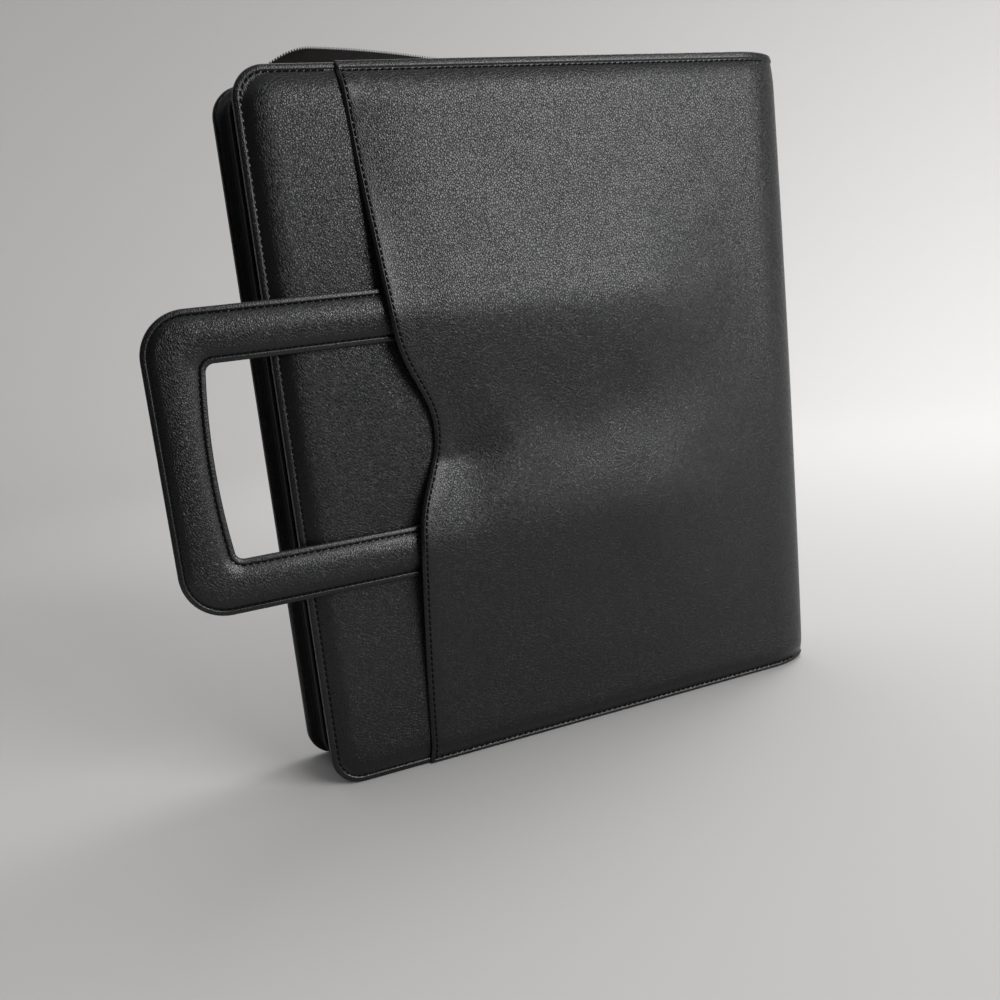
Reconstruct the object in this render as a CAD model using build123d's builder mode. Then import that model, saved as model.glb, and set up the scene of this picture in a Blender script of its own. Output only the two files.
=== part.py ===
"""Zippered padfolio with a pull-out carrying handle, in millimetres.

The case stands on its short edge, as it is stood to be looked at: +X runs from the
handle to the spine, +Y from the front cover to the back cover, +Z up the long edge.
The origin is under the middle of the whole object, on the surface it stands on.
"""

import os
from dataclasses import dataclass
from math import cos, radians, sin

from build123d import *

os.makedirs("parts", exist_ok=True)

# Case: two stiff covers joined by a spine, sized around a pad of A4 sheets
PAD_WIDTH = 210.0
PAD_HEIGHT = 297.0
PAD_FROM_EDGE = 14.0  # fore edge of the covers to the pad
PAD_FROM_SPINE = 60.0  # pad to the outside of the spine
PAD_FROM_ENDS = 19.0  # head and tail of the pad to the covers' edges
CASE_DEPTH = 46.0  # hem face of the front cover to hem face of the back cover
CORNER_RADIUS = 15.0  # the two corners of each cover at the fore edge
BACK_REACH = 2.8  # the back cover stands this far out past the front one at the fore edge

# Layers of a cover, from the outside in
SKIN = 1.0
BOARD = 2.2
LINING = 0.8
BOARD_INSET = 2.0  # the skin is turned in over the board's edges
LINING_INSET = 1.2

# Padded panel of a cover: a flat stitched hem, a soft slope and a flat top
HEM = 4.0
PAD_SLOPE = 9.0
PAD_RISE = 3.5
RAMP_STEPS = (0.0, 0.25, 0.5, 0.75, 1.0)
SLOPE_SKIN_SHARE = 0.6  # sideways step between the inside and outside of a sloping sheet

# Leather folds between the covers and the spine
FOLD_RADIUS = 8.0

# Handle: a padded U that slides under the front pocket
HANDLE_REACH = 56.0  # how far the grip stands out past the fore edge
HANDLE_SPAN = 137.0
HANDLE_CORNER = 21.0
ARM_WIDTH = 24.5
GRIP_WIDTH = 26.0  # at the ends of the grip, which is narrower in the middle
GRIP_BOW = 2.5
GRIP_INNER_RADIUS = 4.0
HANDLE_SKIN = 0.8
HANDLE_CORE = 1.5
HANDLE_PADDING = 1.4
CORE_INSET = 3.0
PADDING_INSET = 4.5
HANDLE_EDGE_ROUND = 1.2
RUN_CLEARANCE = 0.3  # between the handle and what it slides past
HANDLE_TRAVEL = 58.0
TRAVEL_MARGIN = 2.0  # room past the handle's end when it is pushed in

# Guide straps that hold the handle's arms down, and the bar that stops at them
STRAP_FROM_EDGE = 88.0
STRAP_LENGTH = 20.0
STRAP = 0.8
STRAP_FOOT = 6.0
STOP_BAR_WIDTH = 14.0
STOP_BAR = 1.4
STOP_BAR_OVERHANG = 4.0
RIVET_HEAD_RADIUS = 2.6
RIVET_HEAD = 0.5
RIVET_RADIUS = 1.5

# Front pocket: one sheet sewn down on three sides, open towards the handle
POCKET = 1.1
POCKET_SEAT = 1.2  # how far the sheet's slope stands outside the cover's slope
MOUTH_AT_TAIL = 49.0  # the mouth's distance from the fore edge
MOUTH_AT_HEAD = 46.0
MOUTH_AT_SHOULDERS = 53.5
MOUTH_AT_NOTCH = 70.0
SHOULDER_SPACING = 126.0

# Zip: two tapes that make the side walls, each with a coil at its free edge
ZIP_INSET = 5.0  # the walls stand back from the covers' edges
TAPE = 0.7
COIL = 2.0
COIL_GAP = 2.4  # between the two coils while the zip is open
ZIP_END = 15.5  # the tapes end this far from the outside of the spine
STOP_LENGTH = 2.5
STOP_MARGIN = 0.15
FLARE_FROM_CORNER = 1.0  # the opened front tape stands up along part of the head edge
FLARE_RISE_RUN = 25.0
FLARE_FALL_RUN = 140.0
FLARE_ANGLE = 57.0
FLARE_STEPS = 18
FLARE_STEP_POWER = 1.4  # above 1, the steps lie closer together by the corner

# Zip slider and its pull tab
SLIDER_LENGTH = 12.0
SLIDER_WIDTH = 10.0
SLIDER_PLATE = 1.1
SLIDER_CLEARANCE = 0.3
SLIDER_POST_LENGTH = 3.0
SLIDER_POST_WIDTH = 1.6
SLIDER_REST_GAP = 1.0
BRIDGE_LENGTH = 6.0
BRIDGE_WIDTH = 2.6
PIVOT_HOLE_RADIUS = 1.0
PIVOT_PIN_RADIUS = 0.95
PIVOT_HEIGHT = 2.0  # above the slider's upper plate
BRIDGE_TOP = 0.9  # metal over the pivot hole
PULL_LENGTH = 26.0
PULL_WIDTH = 7.5
PULL = 1.4
PULL_EAR_RADIUS = 1.5
PULL_SLOT_WIDTH = 3.2
PULL_SLOT_LENGTH = 5.5
PULL_HOLE_RADIUS = 1.6

# Writing pad and the sleeve that its backing slips into
PAD_BACKING = 1.0
PAD_PAPER = 8.0
PAD_BINDING = 0.4
PAD_BINDING_HEIGHT = 22.0
SLEEVE = 0.8
SLEEVE_BORDER = 6.0
SLEEVE_HEIGHT = 210.0
SLIP_CLEARANCE = 0.3

# Pen loop beside the pad
PEN_LOOP_RADIUS = 6.5
PEN_LOOP_WALL = 0.8
PEN_LOOP_LENGTH = 26.0
PEN_LOOP_FOOT = 18.0
PEN_LOOP_FROM_PAD = 14.0

# Document pocket and card slots on the inside of the front cover
DOCUMENT_MARGIN = 12.0
DOCUMENT_HEIGHT = 225.0
DOCUMENT_GAP = 1.0
CARD_WIDTH = 98.0
CARD_SLOTS = 3
CARD_SLOT_HEIGHT = 48.0  # of the front slot
CARD_SLOT_STEP = 22.0  # each slot behind it stands this much taller
CARD_SHEET = 0.6
CARD_GAP = 0.5
CARD_BASE = 60.0
CARD_FROM_EDGE = 40.0

# Places that follow from the driving dimensions
COVER_WIDTH = PAD_FROM_EDGE + PAD_WIDTH + PAD_FROM_SPINE
COVER_HEIGHT = PAD_HEIGHT + 2 * PAD_FROM_ENDS
STACK = SKIN + BOARD + LINING
HANDLE_THICKNESS = 2 * HANDLE_SKIN + HANDLE_CORE + HANDLE_PADDING
POCKET_RISE = PAD_RISE + HANDLE_THICKNESS + STRAP + 3 * RUN_CLEARANCE
FRONT_SWELL = POCKET_RISE + POCKET

FORE_X = (HANDLE_REACH - COVER_WIDTH) / 2
SPINE_X = FORE_X + COVER_WIDTH
COVER_END_X = SPINE_X - FOLD_RADIUS
FRONT_Y = (FRONT_SWELL - CASE_DEPTH - PAD_RISE) / 2
BACK_Y = FRONT_Y + CASE_DEPTH
MIDDLE_Y = (FRONT_Y + BACK_Y) / 2
MIDDLE_Z = COVER_HEIGHT / 2
INNER_END_X = COVER_END_X - SKIN
TAPE_END_X = SPINE_X - ZIP_END
COIL_END_X = TAPE_END_X - STOP_LENGTH
ZIP_Z = COVER_HEIGHT - ZIP_INSET - TAPE / 2
GRIP_X = FORE_X - HANDLE_REACH
STRAP_X = FORE_X + STRAP_FROM_EDGE
STOP_X = STRAP_X + STRAP_LENGTH + RUN_CLEARANCE
ARM_END_X = STOP_X + STOP_BAR_WIDTH
ARM_Z = HANDLE_SPAN / 2 - ARM_WIDTH / 2  # middle of an arm from the middle of the handle
BAR_HALF_SPAN = HANDLE_SPAN / 2 + STOP_BAR_OVERHANG
FLARE_X = FORE_X + CORNER_RADIUS + FLARE_FROM_CORNER
FLARE_RUN = FLARE_RISE_RUN + FLARE_FALL_RUN


@dataclass(frozen=True)
class Side:
    """One half of the case: its name, its fore edge, the face of its hem, which way is outwards."""

    name: str
    fore_x: float
    hem_y: float
    out: int

    def depth(self, inwards: float) -> float:
        """Y of a face that lies so far inwards of the hem's face."""
        return self.hem_y - self.out * inwards

    def coil_edge(self) -> float:
        """Y of this half's coil edge that faces the other half."""
        return MIDDLE_Y + self.out * COIL_GAP / 2


FRONT = Side("front", FORE_X, FRONT_Y, -1)
BACK = Side("back", FORE_X - BACK_REACH, BACK_Y, 1)


def finish(piece: BuildPart, label: str) -> None:
    """Labels a finished piece and writes it as its own STEP file."""
    piece.part.label = label
    export_step(piece.part, f"parts/{label}.step")


def wall(y: float) -> Plane:
    """Upright plane across the case at a depth, seen from the front: X right, Z up."""
    return Plane.XZ.offset(-y)


def slab(x: tuple, y: tuple, z: tuple, mode: Mode = Mode.ADD) -> None:
    """Adds a block between two limits on each axis."""
    centre = [(low + high) / 2 for low, high in (x, y, z)]
    size = [abs(high - low) for low, high in (x, y, z)]
    with Locations(tuple(centre)):
        Box(*size, mode=mode)


def cover_face(side: Side, inset: float, end_x: float) -> None:
    """Sketches a cover's outline: round corners at the fore edge, square at the spine."""
    start_x = side.fore_x + inset
    with Locations(((start_x + end_x) / 2, MIDDLE_Z)):
        Rectangle(end_x - start_x, COVER_HEIGHT - 2 * inset)
    fillet(vertices().group_by(Axis.X)[0], CORNER_RADIUS - inset)


def cover_sheet(side: Side, inset: float, end_x: float, outer: float, inner: float) -> None:
    """Adds a flat layer of a cover between two depths inwards of its hem."""
    low, high = sorted((side.depth(outer), side.depth(inner)))
    with BuildSketch(wall(high)) as layer:
        cover_face(side, inset, end_x)
    extrude(layer.sketch, amount=high - low)


def smooth(t: float) -> float:
    """Eases from 0 to 1 with level ends."""
    return t * t * (3 - 2 * t)


def pad_form(side: Side, inwards: float, inset: float, mode: Mode = Mode.ADD) -> None:
    """Lofts the padded swelling of a cover, from a depth inwards of its hem."""
    sections = []
    for t in RAMP_STEPS:
        edge = HEM + inset + PAD_SLOPE * t
        with BuildSketch(wall(side.depth(inwards - PAD_RISE * smooth(t)))) as level:
            cover_face(side, edge, COVER_END_X - edge)
        sections.append(level.sketch)
    loft(sections, ruled=True, mode=mode)


def zip_face(side: Side, grow: float, end_x: float) -> None:
    """Sketches the zip wall's U, open at the spine, grown evenly on both faces."""
    cover_face(side, ZIP_INSET - grow, end_x)
    with BuildSketch() as inside:
        cover_face(side, ZIP_INSET + TAPE + grow, end_x)
    add(inside.sketch, mode=Mode.SUBTRACT)


def flare_angle(run: float) -> float:
    """Angle at which the opened front tape stands up, this far along its flare."""
    if run < FLARE_RISE_RUN:
        share = run / FLARE_RISE_RUN
    else:
        share = (FLARE_RUN - run) / FLARE_FALL_RUN
    return radians(FLARE_ANGLE) * smooth(share)


def flare_ribbon(start: float, length: float, thickness: float) -> None:
    """Lofts a strip of the raised tape: start and length run from its sewn edge."""
    hinge_y = FRONT.depth(STACK)
    sections = []
    for step in range(FLARE_STEPS + 1):
        run = FLARE_RUN * (step / FLARE_STEPS) ** FLARE_STEP_POWER
        angle = flare_angle(run)
        along = Vector(cos(angle), sin(angle))
        up = Vector(-sin(angle), cos(angle))
        middle = Vector(hinge_y, ZIP_Z + TAPE / 2) - up * (TAPE / 2)
        near, far = middle + along * start, middle + along * (start + length)
        half = up * (thickness / 2)
        with BuildSketch(Plane.YZ.offset(FLARE_X + run)) as section:
            with BuildLine():
                Polyline(near - half, far - half, far + half, near + half, close=True)
            make_face()
        sections.append(section.sketch)
    loft(sections, ruled=True)


# Covers: skin, padding, board and lining of each half
for half in (FRONT, BACK):
    with BuildPart() as skin:
        cover_sheet(half, 0, COVER_END_X, 0, SKIN)
        pad_form(half, 0, 0)
        pad_form(half, SKIN, SLOPE_SKIN_SHARE * SKIN, Mode.SUBTRACT)
    finish(skin, f"{half.name}_cover_skin")

    with BuildPart() as padding:
        pad_form(half, SKIN, SLOPE_SKIN_SHARE * SKIN)
    finish(padding, f"{half.name}_cover_padding")

    with BuildPart() as board:
        cover_sheet(half, BOARD_INSET, INNER_END_X, SKIN, SKIN + BOARD)
    finish(board, f"{half.name}_cover_board")

    with BuildPart() as lining:
        cover_sheet(half, LINING_INSET, INNER_END_X, SKIN + BOARD, STACK)
    finish(lining, f"{half.name}_lining")

# Spine: skin, board and lining between the two folds
SPINE_FROM_Y = FRONT_Y + FOLD_RADIUS
SPINE_TO_Y = BACK_Y - FOLD_RADIUS

with BuildPart() as spine_skin:
    slab((SPINE_X - SKIN, SPINE_X), (SPINE_FROM_Y, SPINE_TO_Y), (0, COVER_HEIGHT))
finish(spine_skin, "spine_skin")

with BuildPart() as spine_board:
    slab(
        (SPINE_X - SKIN - BOARD, SPINE_X - SKIN),
        (SPINE_FROM_Y + SKIN, SPINE_TO_Y - SKIN),
        (BOARD_INSET, COVER_HEIGHT - BOARD_INSET),
    )
finish(spine_board, "spine_board")

with BuildPart() as spine_lining:
    slab(
        (SPINE_X - STACK, SPINE_X - SKIN - BOARD),
        (SPINE_FROM_Y + SKIN, SPINE_TO_Y - SKIN),
        (LINING_INSET, COVER_HEIGHT - LINING_INSET),
    )
finish(spine_lining, "spine_lining")

# Leather folds: quarter rounds that carry on from each cover's skin to the spine's skin
for half in (FRONT, BACK):
    centre_y = half.depth(FOLD_RADIUS)
    first_angle = 0 if half is BACK else -90
    with BuildPart() as fold:
        with BuildSketch(Plane.XY):
            with BuildLine():
                outer_arc = CenterArc((COVER_END_X, centre_y), FOLD_RADIUS, first_angle, 90)
                inner_arc = CenterArc((COVER_END_X, centre_y), FOLD_RADIUS - SKIN, first_angle, 90)
                Line(outer_arc @ 0, inner_arc @ 0)
                Line(outer_arc @ 1, inner_arc @ 1)
            make_face()
        extrude(amount=COVER_HEIGHT)
    finish(fold, f"{half.name}_fold")


# Front pocket sheet: it follows the padded slope, then rises gently to the height that
# the handle needs, which it reaches where the handle's stop bar comes when pushed in
SLOPE_END = HEM - POCKET_SEAT + PAD_SLOPE
REACH_X = COVER_END_X - SLOPE_END - (ARM_END_X + HANDLE_TRAVEL + TRAVEL_MARGIN)
REACH_Z = MIDDLE_Z - SLOPE_END - (BAR_HALF_SPAN + TRAVEL_MARGIN)


def pocket_levels() -> list:
    """Insets along X and Z and rise of the pocket's inside, from its sewn edge upwards."""
    shoulder = PAD_RISE + RUN_CLEARANCE
    levels = []
    for t in RAMP_STEPS:
        inset = SLOPE_END - PAD_SLOPE * (1 - t)
        levels.append((inset, inset, shoulder * smooth(t)))
    for t in RAMP_STEPS[1:]:
        rise = shoulder + (POCKET_RISE - shoulder) * smooth(t)
        levels.append((SLOPE_END + REACH_X * t, SLOPE_END + REACH_Z * t, rise))
    return levels


def pocket_form(thickness: float, mode: Mode = Mode.ADD) -> None:
    """Lofts the pocket's swelling, as its inside or, with a thickness, as its outside."""
    start_x = FORE_X + MOUTH_AT_HEAD / 2
    sideways = SLOPE_SKIN_SHARE * thickness
    levels = [(x - sideways, z - sideways, rise + thickness) for x, z, rise in pocket_levels()]
    if thickness:
        levels.insert(0, (levels[0][0], levels[0][1], 0.0))
    sections = []
    for inset_x, inset_z, rise in levels:
        end_x = COVER_END_X - inset_x
        with BuildSketch(wall(FRONT.depth(-rise))) as level:
            with Locations(((start_x + end_x) / 2, MIDDLE_Z)):
                Rectangle(end_x - start_x, COVER_HEIGHT - 2 * inset_z)
        sections.append(level.sketch)
    loft(sections, ruled=True, mode=mode)


with BuildPart() as pocket:
    slab(
        (FORE_X + MOUTH_AT_HEAD / 2, COVER_END_X),
        (FRONT_Y - POCKET, FRONT_Y),
        (0, COVER_HEIGHT),
    )
    pocket_form(POCKET)
    pocket_form(0, Mode.SUBTRACT)
    # Everything on the handle's side of the mouth is cut away: a straight run from each
    # sewn end to a shoulder, then one smooth dip that bares the handle for the fingers.
    with BuildSketch(wall(FRONT_Y)):
        with BuildLine():
            low_end = (FORE_X + MOUTH_AT_TAIL, 0)
            high_end = (FORE_X + MOUTH_AT_HEAD, COVER_HEIGHT)
            low_shoulder = (FORE_X + MOUTH_AT_SHOULDERS, MIDDLE_Z - SHOULDER_SPACING / 2)
            high_shoulder = (FORE_X + MOUTH_AT_SHOULDERS, MIDDLE_Z + SHOULDER_SPACING / 2)
            low_run = Line(low_end, low_shoulder)
            high_run = Line(high_shoulder, high_end)
            Spline(
                low_shoulder,
                (FORE_X + MOUTH_AT_NOTCH, MIDDLE_Z),
                high_shoulder,
                tangents=[low_run % 1, high_run % 0],
            )
            Polyline(high_end, (FORE_X, COVER_HEIGHT), (FORE_X, 0), low_end)
        make_face()
    extrude(amount=FRONT_SWELL, mode=Mode.SUBTRACT)
finish(pocket, "front_pocket")

# Handle: inner skin, core, padding and outer skin, then the bar that stops it
HANDLE_Y = FRONT.depth(-PAD_RISE - RUN_CLEARANCE)  # the face towards the cover
CORE_Y = HANDLE_Y - HANDLE_SKIN
PADDING_Y = CORE_Y - HANDLE_CORE


def handle_face(end_x: float, inset: float = 0) -> None:
    """Sketches the handle's U: the grip on the left, two arms that end at end_x."""
    with Locations(((GRIP_X + end_x) / 2, MIDDLE_Z)):
        Rectangle(end_x - GRIP_X, HANDLE_SPAN)
    fillet(vertices().group_by(Axis.X)[0], HANDLE_CORNER)
    inner_x = GRIP_X + GRIP_WIDTH
    half_gap = HANDLE_SPAN / 2 - ARM_WIDTH
    with BuildLine() as opening:
        lower = Line((end_x, MIDDLE_Z - half_gap), (inner_x, MIDDLE_Z - half_gap))
        ThreePointArc(
            lower @ 1, (inner_x - GRIP_BOW, MIDDLE_Z), (inner_x, MIDDLE_Z + half_gap)
        )
        Polyline((inner_x, MIDDLE_Z + half_gap), (end_x, MIDDLE_Z + half_gap), lower @ 0)
    make_face(opening.edges(), mode=Mode.SUBTRACT)
    inner_corners = vertices().filter_by_position(Axis.X, inner_x - 0.1, inner_x + 0.1)
    fillet(inner_corners, GRIP_INNER_RADIUS)
    if inset:
        offset(amount=-inset, mode=Mode.REPLACE)


with BuildPart() as handle_inner_skin:
    with BuildSketch(wall(HANDLE_Y)):
        handle_face(ARM_END_X)
    extrude(amount=HANDLE_SKIN)
finish(handle_inner_skin, "handle_inner_skin")

with BuildPart() as handle_core:
    with BuildSketch(wall(CORE_Y)):
        handle_face(ARM_END_X, CORE_INSET)
    extrude(amount=HANDLE_CORE)
finish(handle_core, "handle_core")

with BuildPart() as handle_padding:
    with BuildSketch(wall(PADDING_Y)):
        handle_face(STOP_X, PADDING_INSET)
    extrude(amount=HANDLE_PADDING)
finish(handle_padding, "handle_padding")

with BuildPart() as handle_outer_skin:
    with BuildSketch(wall(CORE_Y)):
        handle_face(STOP_X)
    extrude(amount=HANDLE_CORE + HANDLE_PADDING + HANDLE_SKIN)
    front_edges = handle_outer_skin.faces().sort_by(Axis.Y)[0].edges()
    fillet(front_edges, HANDLE_EDGE_ROUND)
    with BuildSketch(wall(CORE_Y)):
        handle_face(ARM_END_X, CORE_INSET)
    extrude(amount=HANDLE_CORE, mode=Mode.SUBTRACT)
    with BuildSketch(wall(PADDING_Y)):
        handle_face(STOP_X, PADDING_INSET)
    extrude(amount=HANDLE_PADDING, mode=Mode.SUBTRACT)
finish(handle_outer_skin, "handle_outer_skin")

RIVET_X = STOP_X + (STOP_BAR_WIDTH - CORE_INSET) / 2
ARM_CENTRES = [(RIVET_X, MIDDLE_Z - ARM_Z), (RIVET_X, MIDDLE_Z + ARM_Z)]

with BuildPart() as stop_bar:
    with BuildSketch(wall(PADDING_Y)):
        with Locations(((STOP_X + ARM_END_X) / 2, MIDDLE_Z)):
            Rectangle(STOP_BAR_WIDTH, 2 * BAR_HALF_SPAN)
        with Locations(*ARM_CENTRES):
            Circle(RIVET_RADIUS, mode=Mode.SUBTRACT)
    extrude(amount=STOP_BAR)
finish(stop_bar, "handle_stop_bar")

with BuildPart() as rivets:
    with BuildSketch(wall(PADDING_Y)):
        with Locations(*ARM_CENTRES):
            Circle(RIVET_RADIUS)
    extrude(amount=STOP_BAR)
    with BuildSketch(wall(PADDING_Y - STOP_BAR)):
        with Locations(*ARM_CENTRES):
            Circle(RIVET_HEAD_RADIUS)
    extrude(amount=RIVET_HEAD)
finish(rivets, "handle_rivets")

# Guide straps: one loop over each arm, sewn flat to the cover on both sides of it
with BuildPart() as straps:
    inside_top = HANDLE_THICKNESS + 2 * RUN_CLEARANCE
    inside_half = ARM_WIDTH / 2 + RUN_CLEARANCE
    foot_half = inside_half + STRAP_FOOT
    plateau_y = FRONT.depth(-PAD_RISE)
    for arm_z in (MIDDLE_Z - ARM_Z, MIDDLE_Z + ARM_Z):
        with BuildSketch(Plane.YZ.offset(STRAP_X)):
            with Locations((plateau_y - (inside_top + STRAP) / 2, arm_z)):
                Rectangle(inside_top + STRAP, 2 * (inside_half + STRAP))
            with Locations((plateau_y - STRAP / 2, arm_z)):
                Rectangle(STRAP, 2 * foot_half)
            with Locations((plateau_y - inside_top / 2, arm_z)):
                Rectangle(inside_top, 2 * inside_half, mode=Mode.SUBTRACT)
        extrude(amount=STRAP_LENGTH)
finish(straps, "handle_guide_straps")

# Zip tapes: the front tape stands up along part of the head edge, where it is undone
for half in (FRONT, BACK):
    sewn_y = half.depth(STACK)
    coil_y = half.coil_edge() + half.out * COIL
    tape_width = abs(sewn_y - coil_y)
    flare_x = (FLARE_X, FLARE_X + FLARE_RUN)
    head_z = (ZIP_Z - COIL, ZIP_Z + COIL)

    with BuildPart() as tape:
        with BuildSketch(wall(max(sewn_y, coil_y))):
            zip_face(half, 0, TAPE_END_X)
        extrude(amount=tape_width)
        if half is FRONT:
            slab(flare_x, (sewn_y, coil_y), head_z, Mode.SUBTRACT)
    finish(tape, f"{half.name}_zip_tape")

    with BuildPart() as coil:
        with BuildSketch(wall(max(coil_y, half.coil_edge()))):
            zip_face(half, (COIL - TAPE) / 2, COIL_END_X)
        extrude(amount=COIL)
        if half is FRONT:
            slab(flare_x, (coil_y, half.coil_edge()), head_z, Mode.SUBTRACT)
            flare_ribbon(tape_width, COIL, COIL)
    finish(coil, f"{half.name}_zip_coil")

    with BuildPart() as stops:
        for stop_z in (ZIP_Z, COVER_HEIGHT - ZIP_Z):
            slab(
                (COIL_END_X, TAPE_END_X),
                (coil_y, half.coil_edge()),
                (stop_z - COIL / 2 - STOP_MARGIN, stop_z + COIL / 2 + STOP_MARGIN),
            )
    finish(stops, f"{half.name}_zip_stops")

with BuildPart() as raised_tape:
    flare_ribbon(0, abs(FRONT.coil_edge() - COIL - FRONT.depth(STACK)), TAPE)
finish(raised_tape, "front_zip_flare")

# Zip slider: two plates and a post between the coils, with a bridge for the pull tab
SLIDER_END_X = COIL_END_X - SLIDER_REST_GAP
SLIDER_X = SLIDER_END_X - SLIDER_LENGTH / 2
PLATE_GAP = COIL / 2 + SLIDER_CLEARANCE  # from the middle of the coil to a plate
UPPER_Z = ZIP_Z + PLATE_GAP + SLIDER_PLATE
PIVOT_Z = UPPER_Z + PIVOT_HEIGHT
PULL_END_X = SLIDER_X - PULL_LENGTH

with BuildPart() as slider:
    for plate_z in (ZIP_Z - PLATE_GAP - SLIDER_PLATE, ZIP_Z + PLATE_GAP):
        with BuildSketch(Plane.XY.offset(plate_z)):
            with Locations((SLIDER_X, MIDDLE_Y)):
                RectangleRounded(SLIDER_LENGTH, SLIDER_WIDTH, SLIDER_WIDTH / 4)
        extrude(amount=SLIDER_PLATE)
    slab(
        (SLIDER_END_X - SLIDER_POST_LENGTH, SLIDER_END_X),
        (MIDDLE_Y - SLIDER_POST_WIDTH / 2, MIDDLE_Y + SLIDER_POST_WIDTH / 2),
        (ZIP_Z - PLATE_GAP, ZIP_Z + PLATE_GAP),
    )
    with BuildSketch(Plane.XZ.offset(-MIDDLE_Y)):
        bridge_height = PIVOT_HEIGHT + PIVOT_HOLE_RADIUS + BRIDGE_TOP
        with Locations((SLIDER_X, UPPER_Z + bridge_height / 2)):
            Rectangle(BRIDGE_LENGTH, bridge_height)
        fillet(vertices().group_by(Axis.Y)[-1], BRIDGE_TOP)
        with Locations((SLIDER_X, PIVOT_Z)):
            Circle(PIVOT_HOLE_RADIUS, mode=Mode.SUBTRACT)
    extrude(amount=BRIDGE_WIDTH / 2, both=True)
finish(slider, "zip_slider")

with BuildPart() as pull:
    with BuildSketch(Plane.XY.offset(PIVOT_Z - PULL / 2)):
        with Locations(((SLIDER_X + PULL_END_X) / 2, MIDDLE_Y)):
            Rectangle(PULL_LENGTH, PULL_WIDTH)
        fillet(vertices().group_by(Axis.X)[0], PULL_WIDTH / 3)
        with Locations((SLIDER_X, MIDDLE_Y)):
            Rectangle(2 * PULL_SLOT_LENGTH, PULL_SLOT_WIDTH, mode=Mode.SUBTRACT)
        with Locations((PULL_END_X + PULL_WIDTH / 2, MIDDLE_Y)):
            Circle(PULL_HOLE_RADIUS, mode=Mode.SUBTRACT)
    extrude(amount=PULL)
    with BuildSketch(Plane.XZ.offset(-MIDDLE_Y)):
        with Locations((SLIDER_X, PIVOT_Z)):
            Circle(PULL_EAR_RADIUS)
    extrude(amount=PULL_WIDTH / 2, both=True)
    slab(
        (SLIDER_X - PULL_SLOT_LENGTH, SLIDER_X + PULL_SLOT_LENGTH),
        (MIDDLE_Y - PULL_SLOT_WIDTH / 2, MIDDLE_Y + PULL_SLOT_WIDTH / 2),
        (PIVOT_Z - PULL_EAR_RADIUS, PIVOT_Z + PULL_EAR_RADIUS),
        Mode.SUBTRACT,
    )
    with BuildSketch(Plane.XZ.offset(-MIDDLE_Y)):
        with Locations((SLIDER_X, PIVOT_Z)):
            Circle(PIVOT_PIN_RADIUS)
    extrude(amount=PULL_WIDTH / 2, both=True)
finish(pull, "zip_pull_tab")


# Inside of the back cover: the pad's backing slips into a sleeve, its sheets lie outside
def sleeve(x: tuple, z: tuple, base_y: float, inwards: int, gap: float, sheet: float) -> None:
    """Adds a flat pocket on a lining: sewn on three sides, open at its upper edge."""
    slab(x, (base_y, base_y + inwards * (gap + sheet)), z)
    slab(
        (x[0] + SLEEVE_BORDER, x[1] - SLEEVE_BORDER),
        (base_y, base_y + inwards * gap),
        (z[0] + SLEEVE_BORDER, z[1]),
        Mode.SUBTRACT,
    )


BACK_LINING_Y = BACK.depth(STACK)
PAD_X = (FORE_X + PAD_FROM_EDGE, FORE_X + PAD_FROM_EDGE + PAD_WIDTH)
PAD_Z = (MIDDLE_Z - PAD_HEIGHT / 2, MIDDLE_Z + PAD_HEIGHT / 2)
SLEEVE_GAP = PAD_BACKING + 2 * SLIP_CLEARANCE
BACKING_Y = BACK_LINING_Y - SLIP_CLEARANCE
PAPER_Y = BACK_LINING_Y - SLEEVE_GAP - SLEEVE - SLIP_CLEARANCE
BACKING_MARGIN = SLEEVE_BORDER + SLIP_CLEARANCE

with BuildPart() as pad_sleeve:
    sleeve_z = PAD_Z[0] - BACKING_MARGIN
    sleeve(
        (PAD_X[0] - BACKING_MARGIN, PAD_X[1] + BACKING_MARGIN),
        (sleeve_z, sleeve_z + SLEEVE_HEIGHT),
        BACK_LINING_Y,
        -BACK.out,
        SLEEVE_GAP,
        SLEEVE,
    )
finish(pad_sleeve, "pad_sleeve")

with BuildPart() as pad_backing:
    slab(PAD_X, (BACKING_Y - PAD_BACKING, BACKING_Y), PAD_Z)
finish(pad_backing, "pad_backing_board")

with BuildPart() as pad_paper:
    slab(PAD_X, (PAPER_Y - PAD_PAPER, PAPER_Y), PAD_Z)
finish(pad_paper, "pad_paper_block")

# Binding strip: wraps the head of the sheets and glues them to the backing
with BuildPart() as pad_binding:
    strip_z = (PAD_Z[1] - PAD_BINDING_HEIGHT, PAD_Z[1])
    slab(PAD_X, (PAPER_Y, BACKING_Y - PAD_BACKING), strip_z)
    slab(PAD_X, (PAPER_Y - PAD_PAPER - PAD_BINDING, PAPER_Y - PAD_PAPER), strip_z)
    slab(
        PAD_X,
        (PAPER_Y - PAD_PAPER - PAD_BINDING, BACKING_Y - PAD_BACKING),
        (PAD_Z[1], PAD_Z[1] + PAD_BINDING),
    )
finish(pad_binding, "pad_binding_strip")

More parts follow.
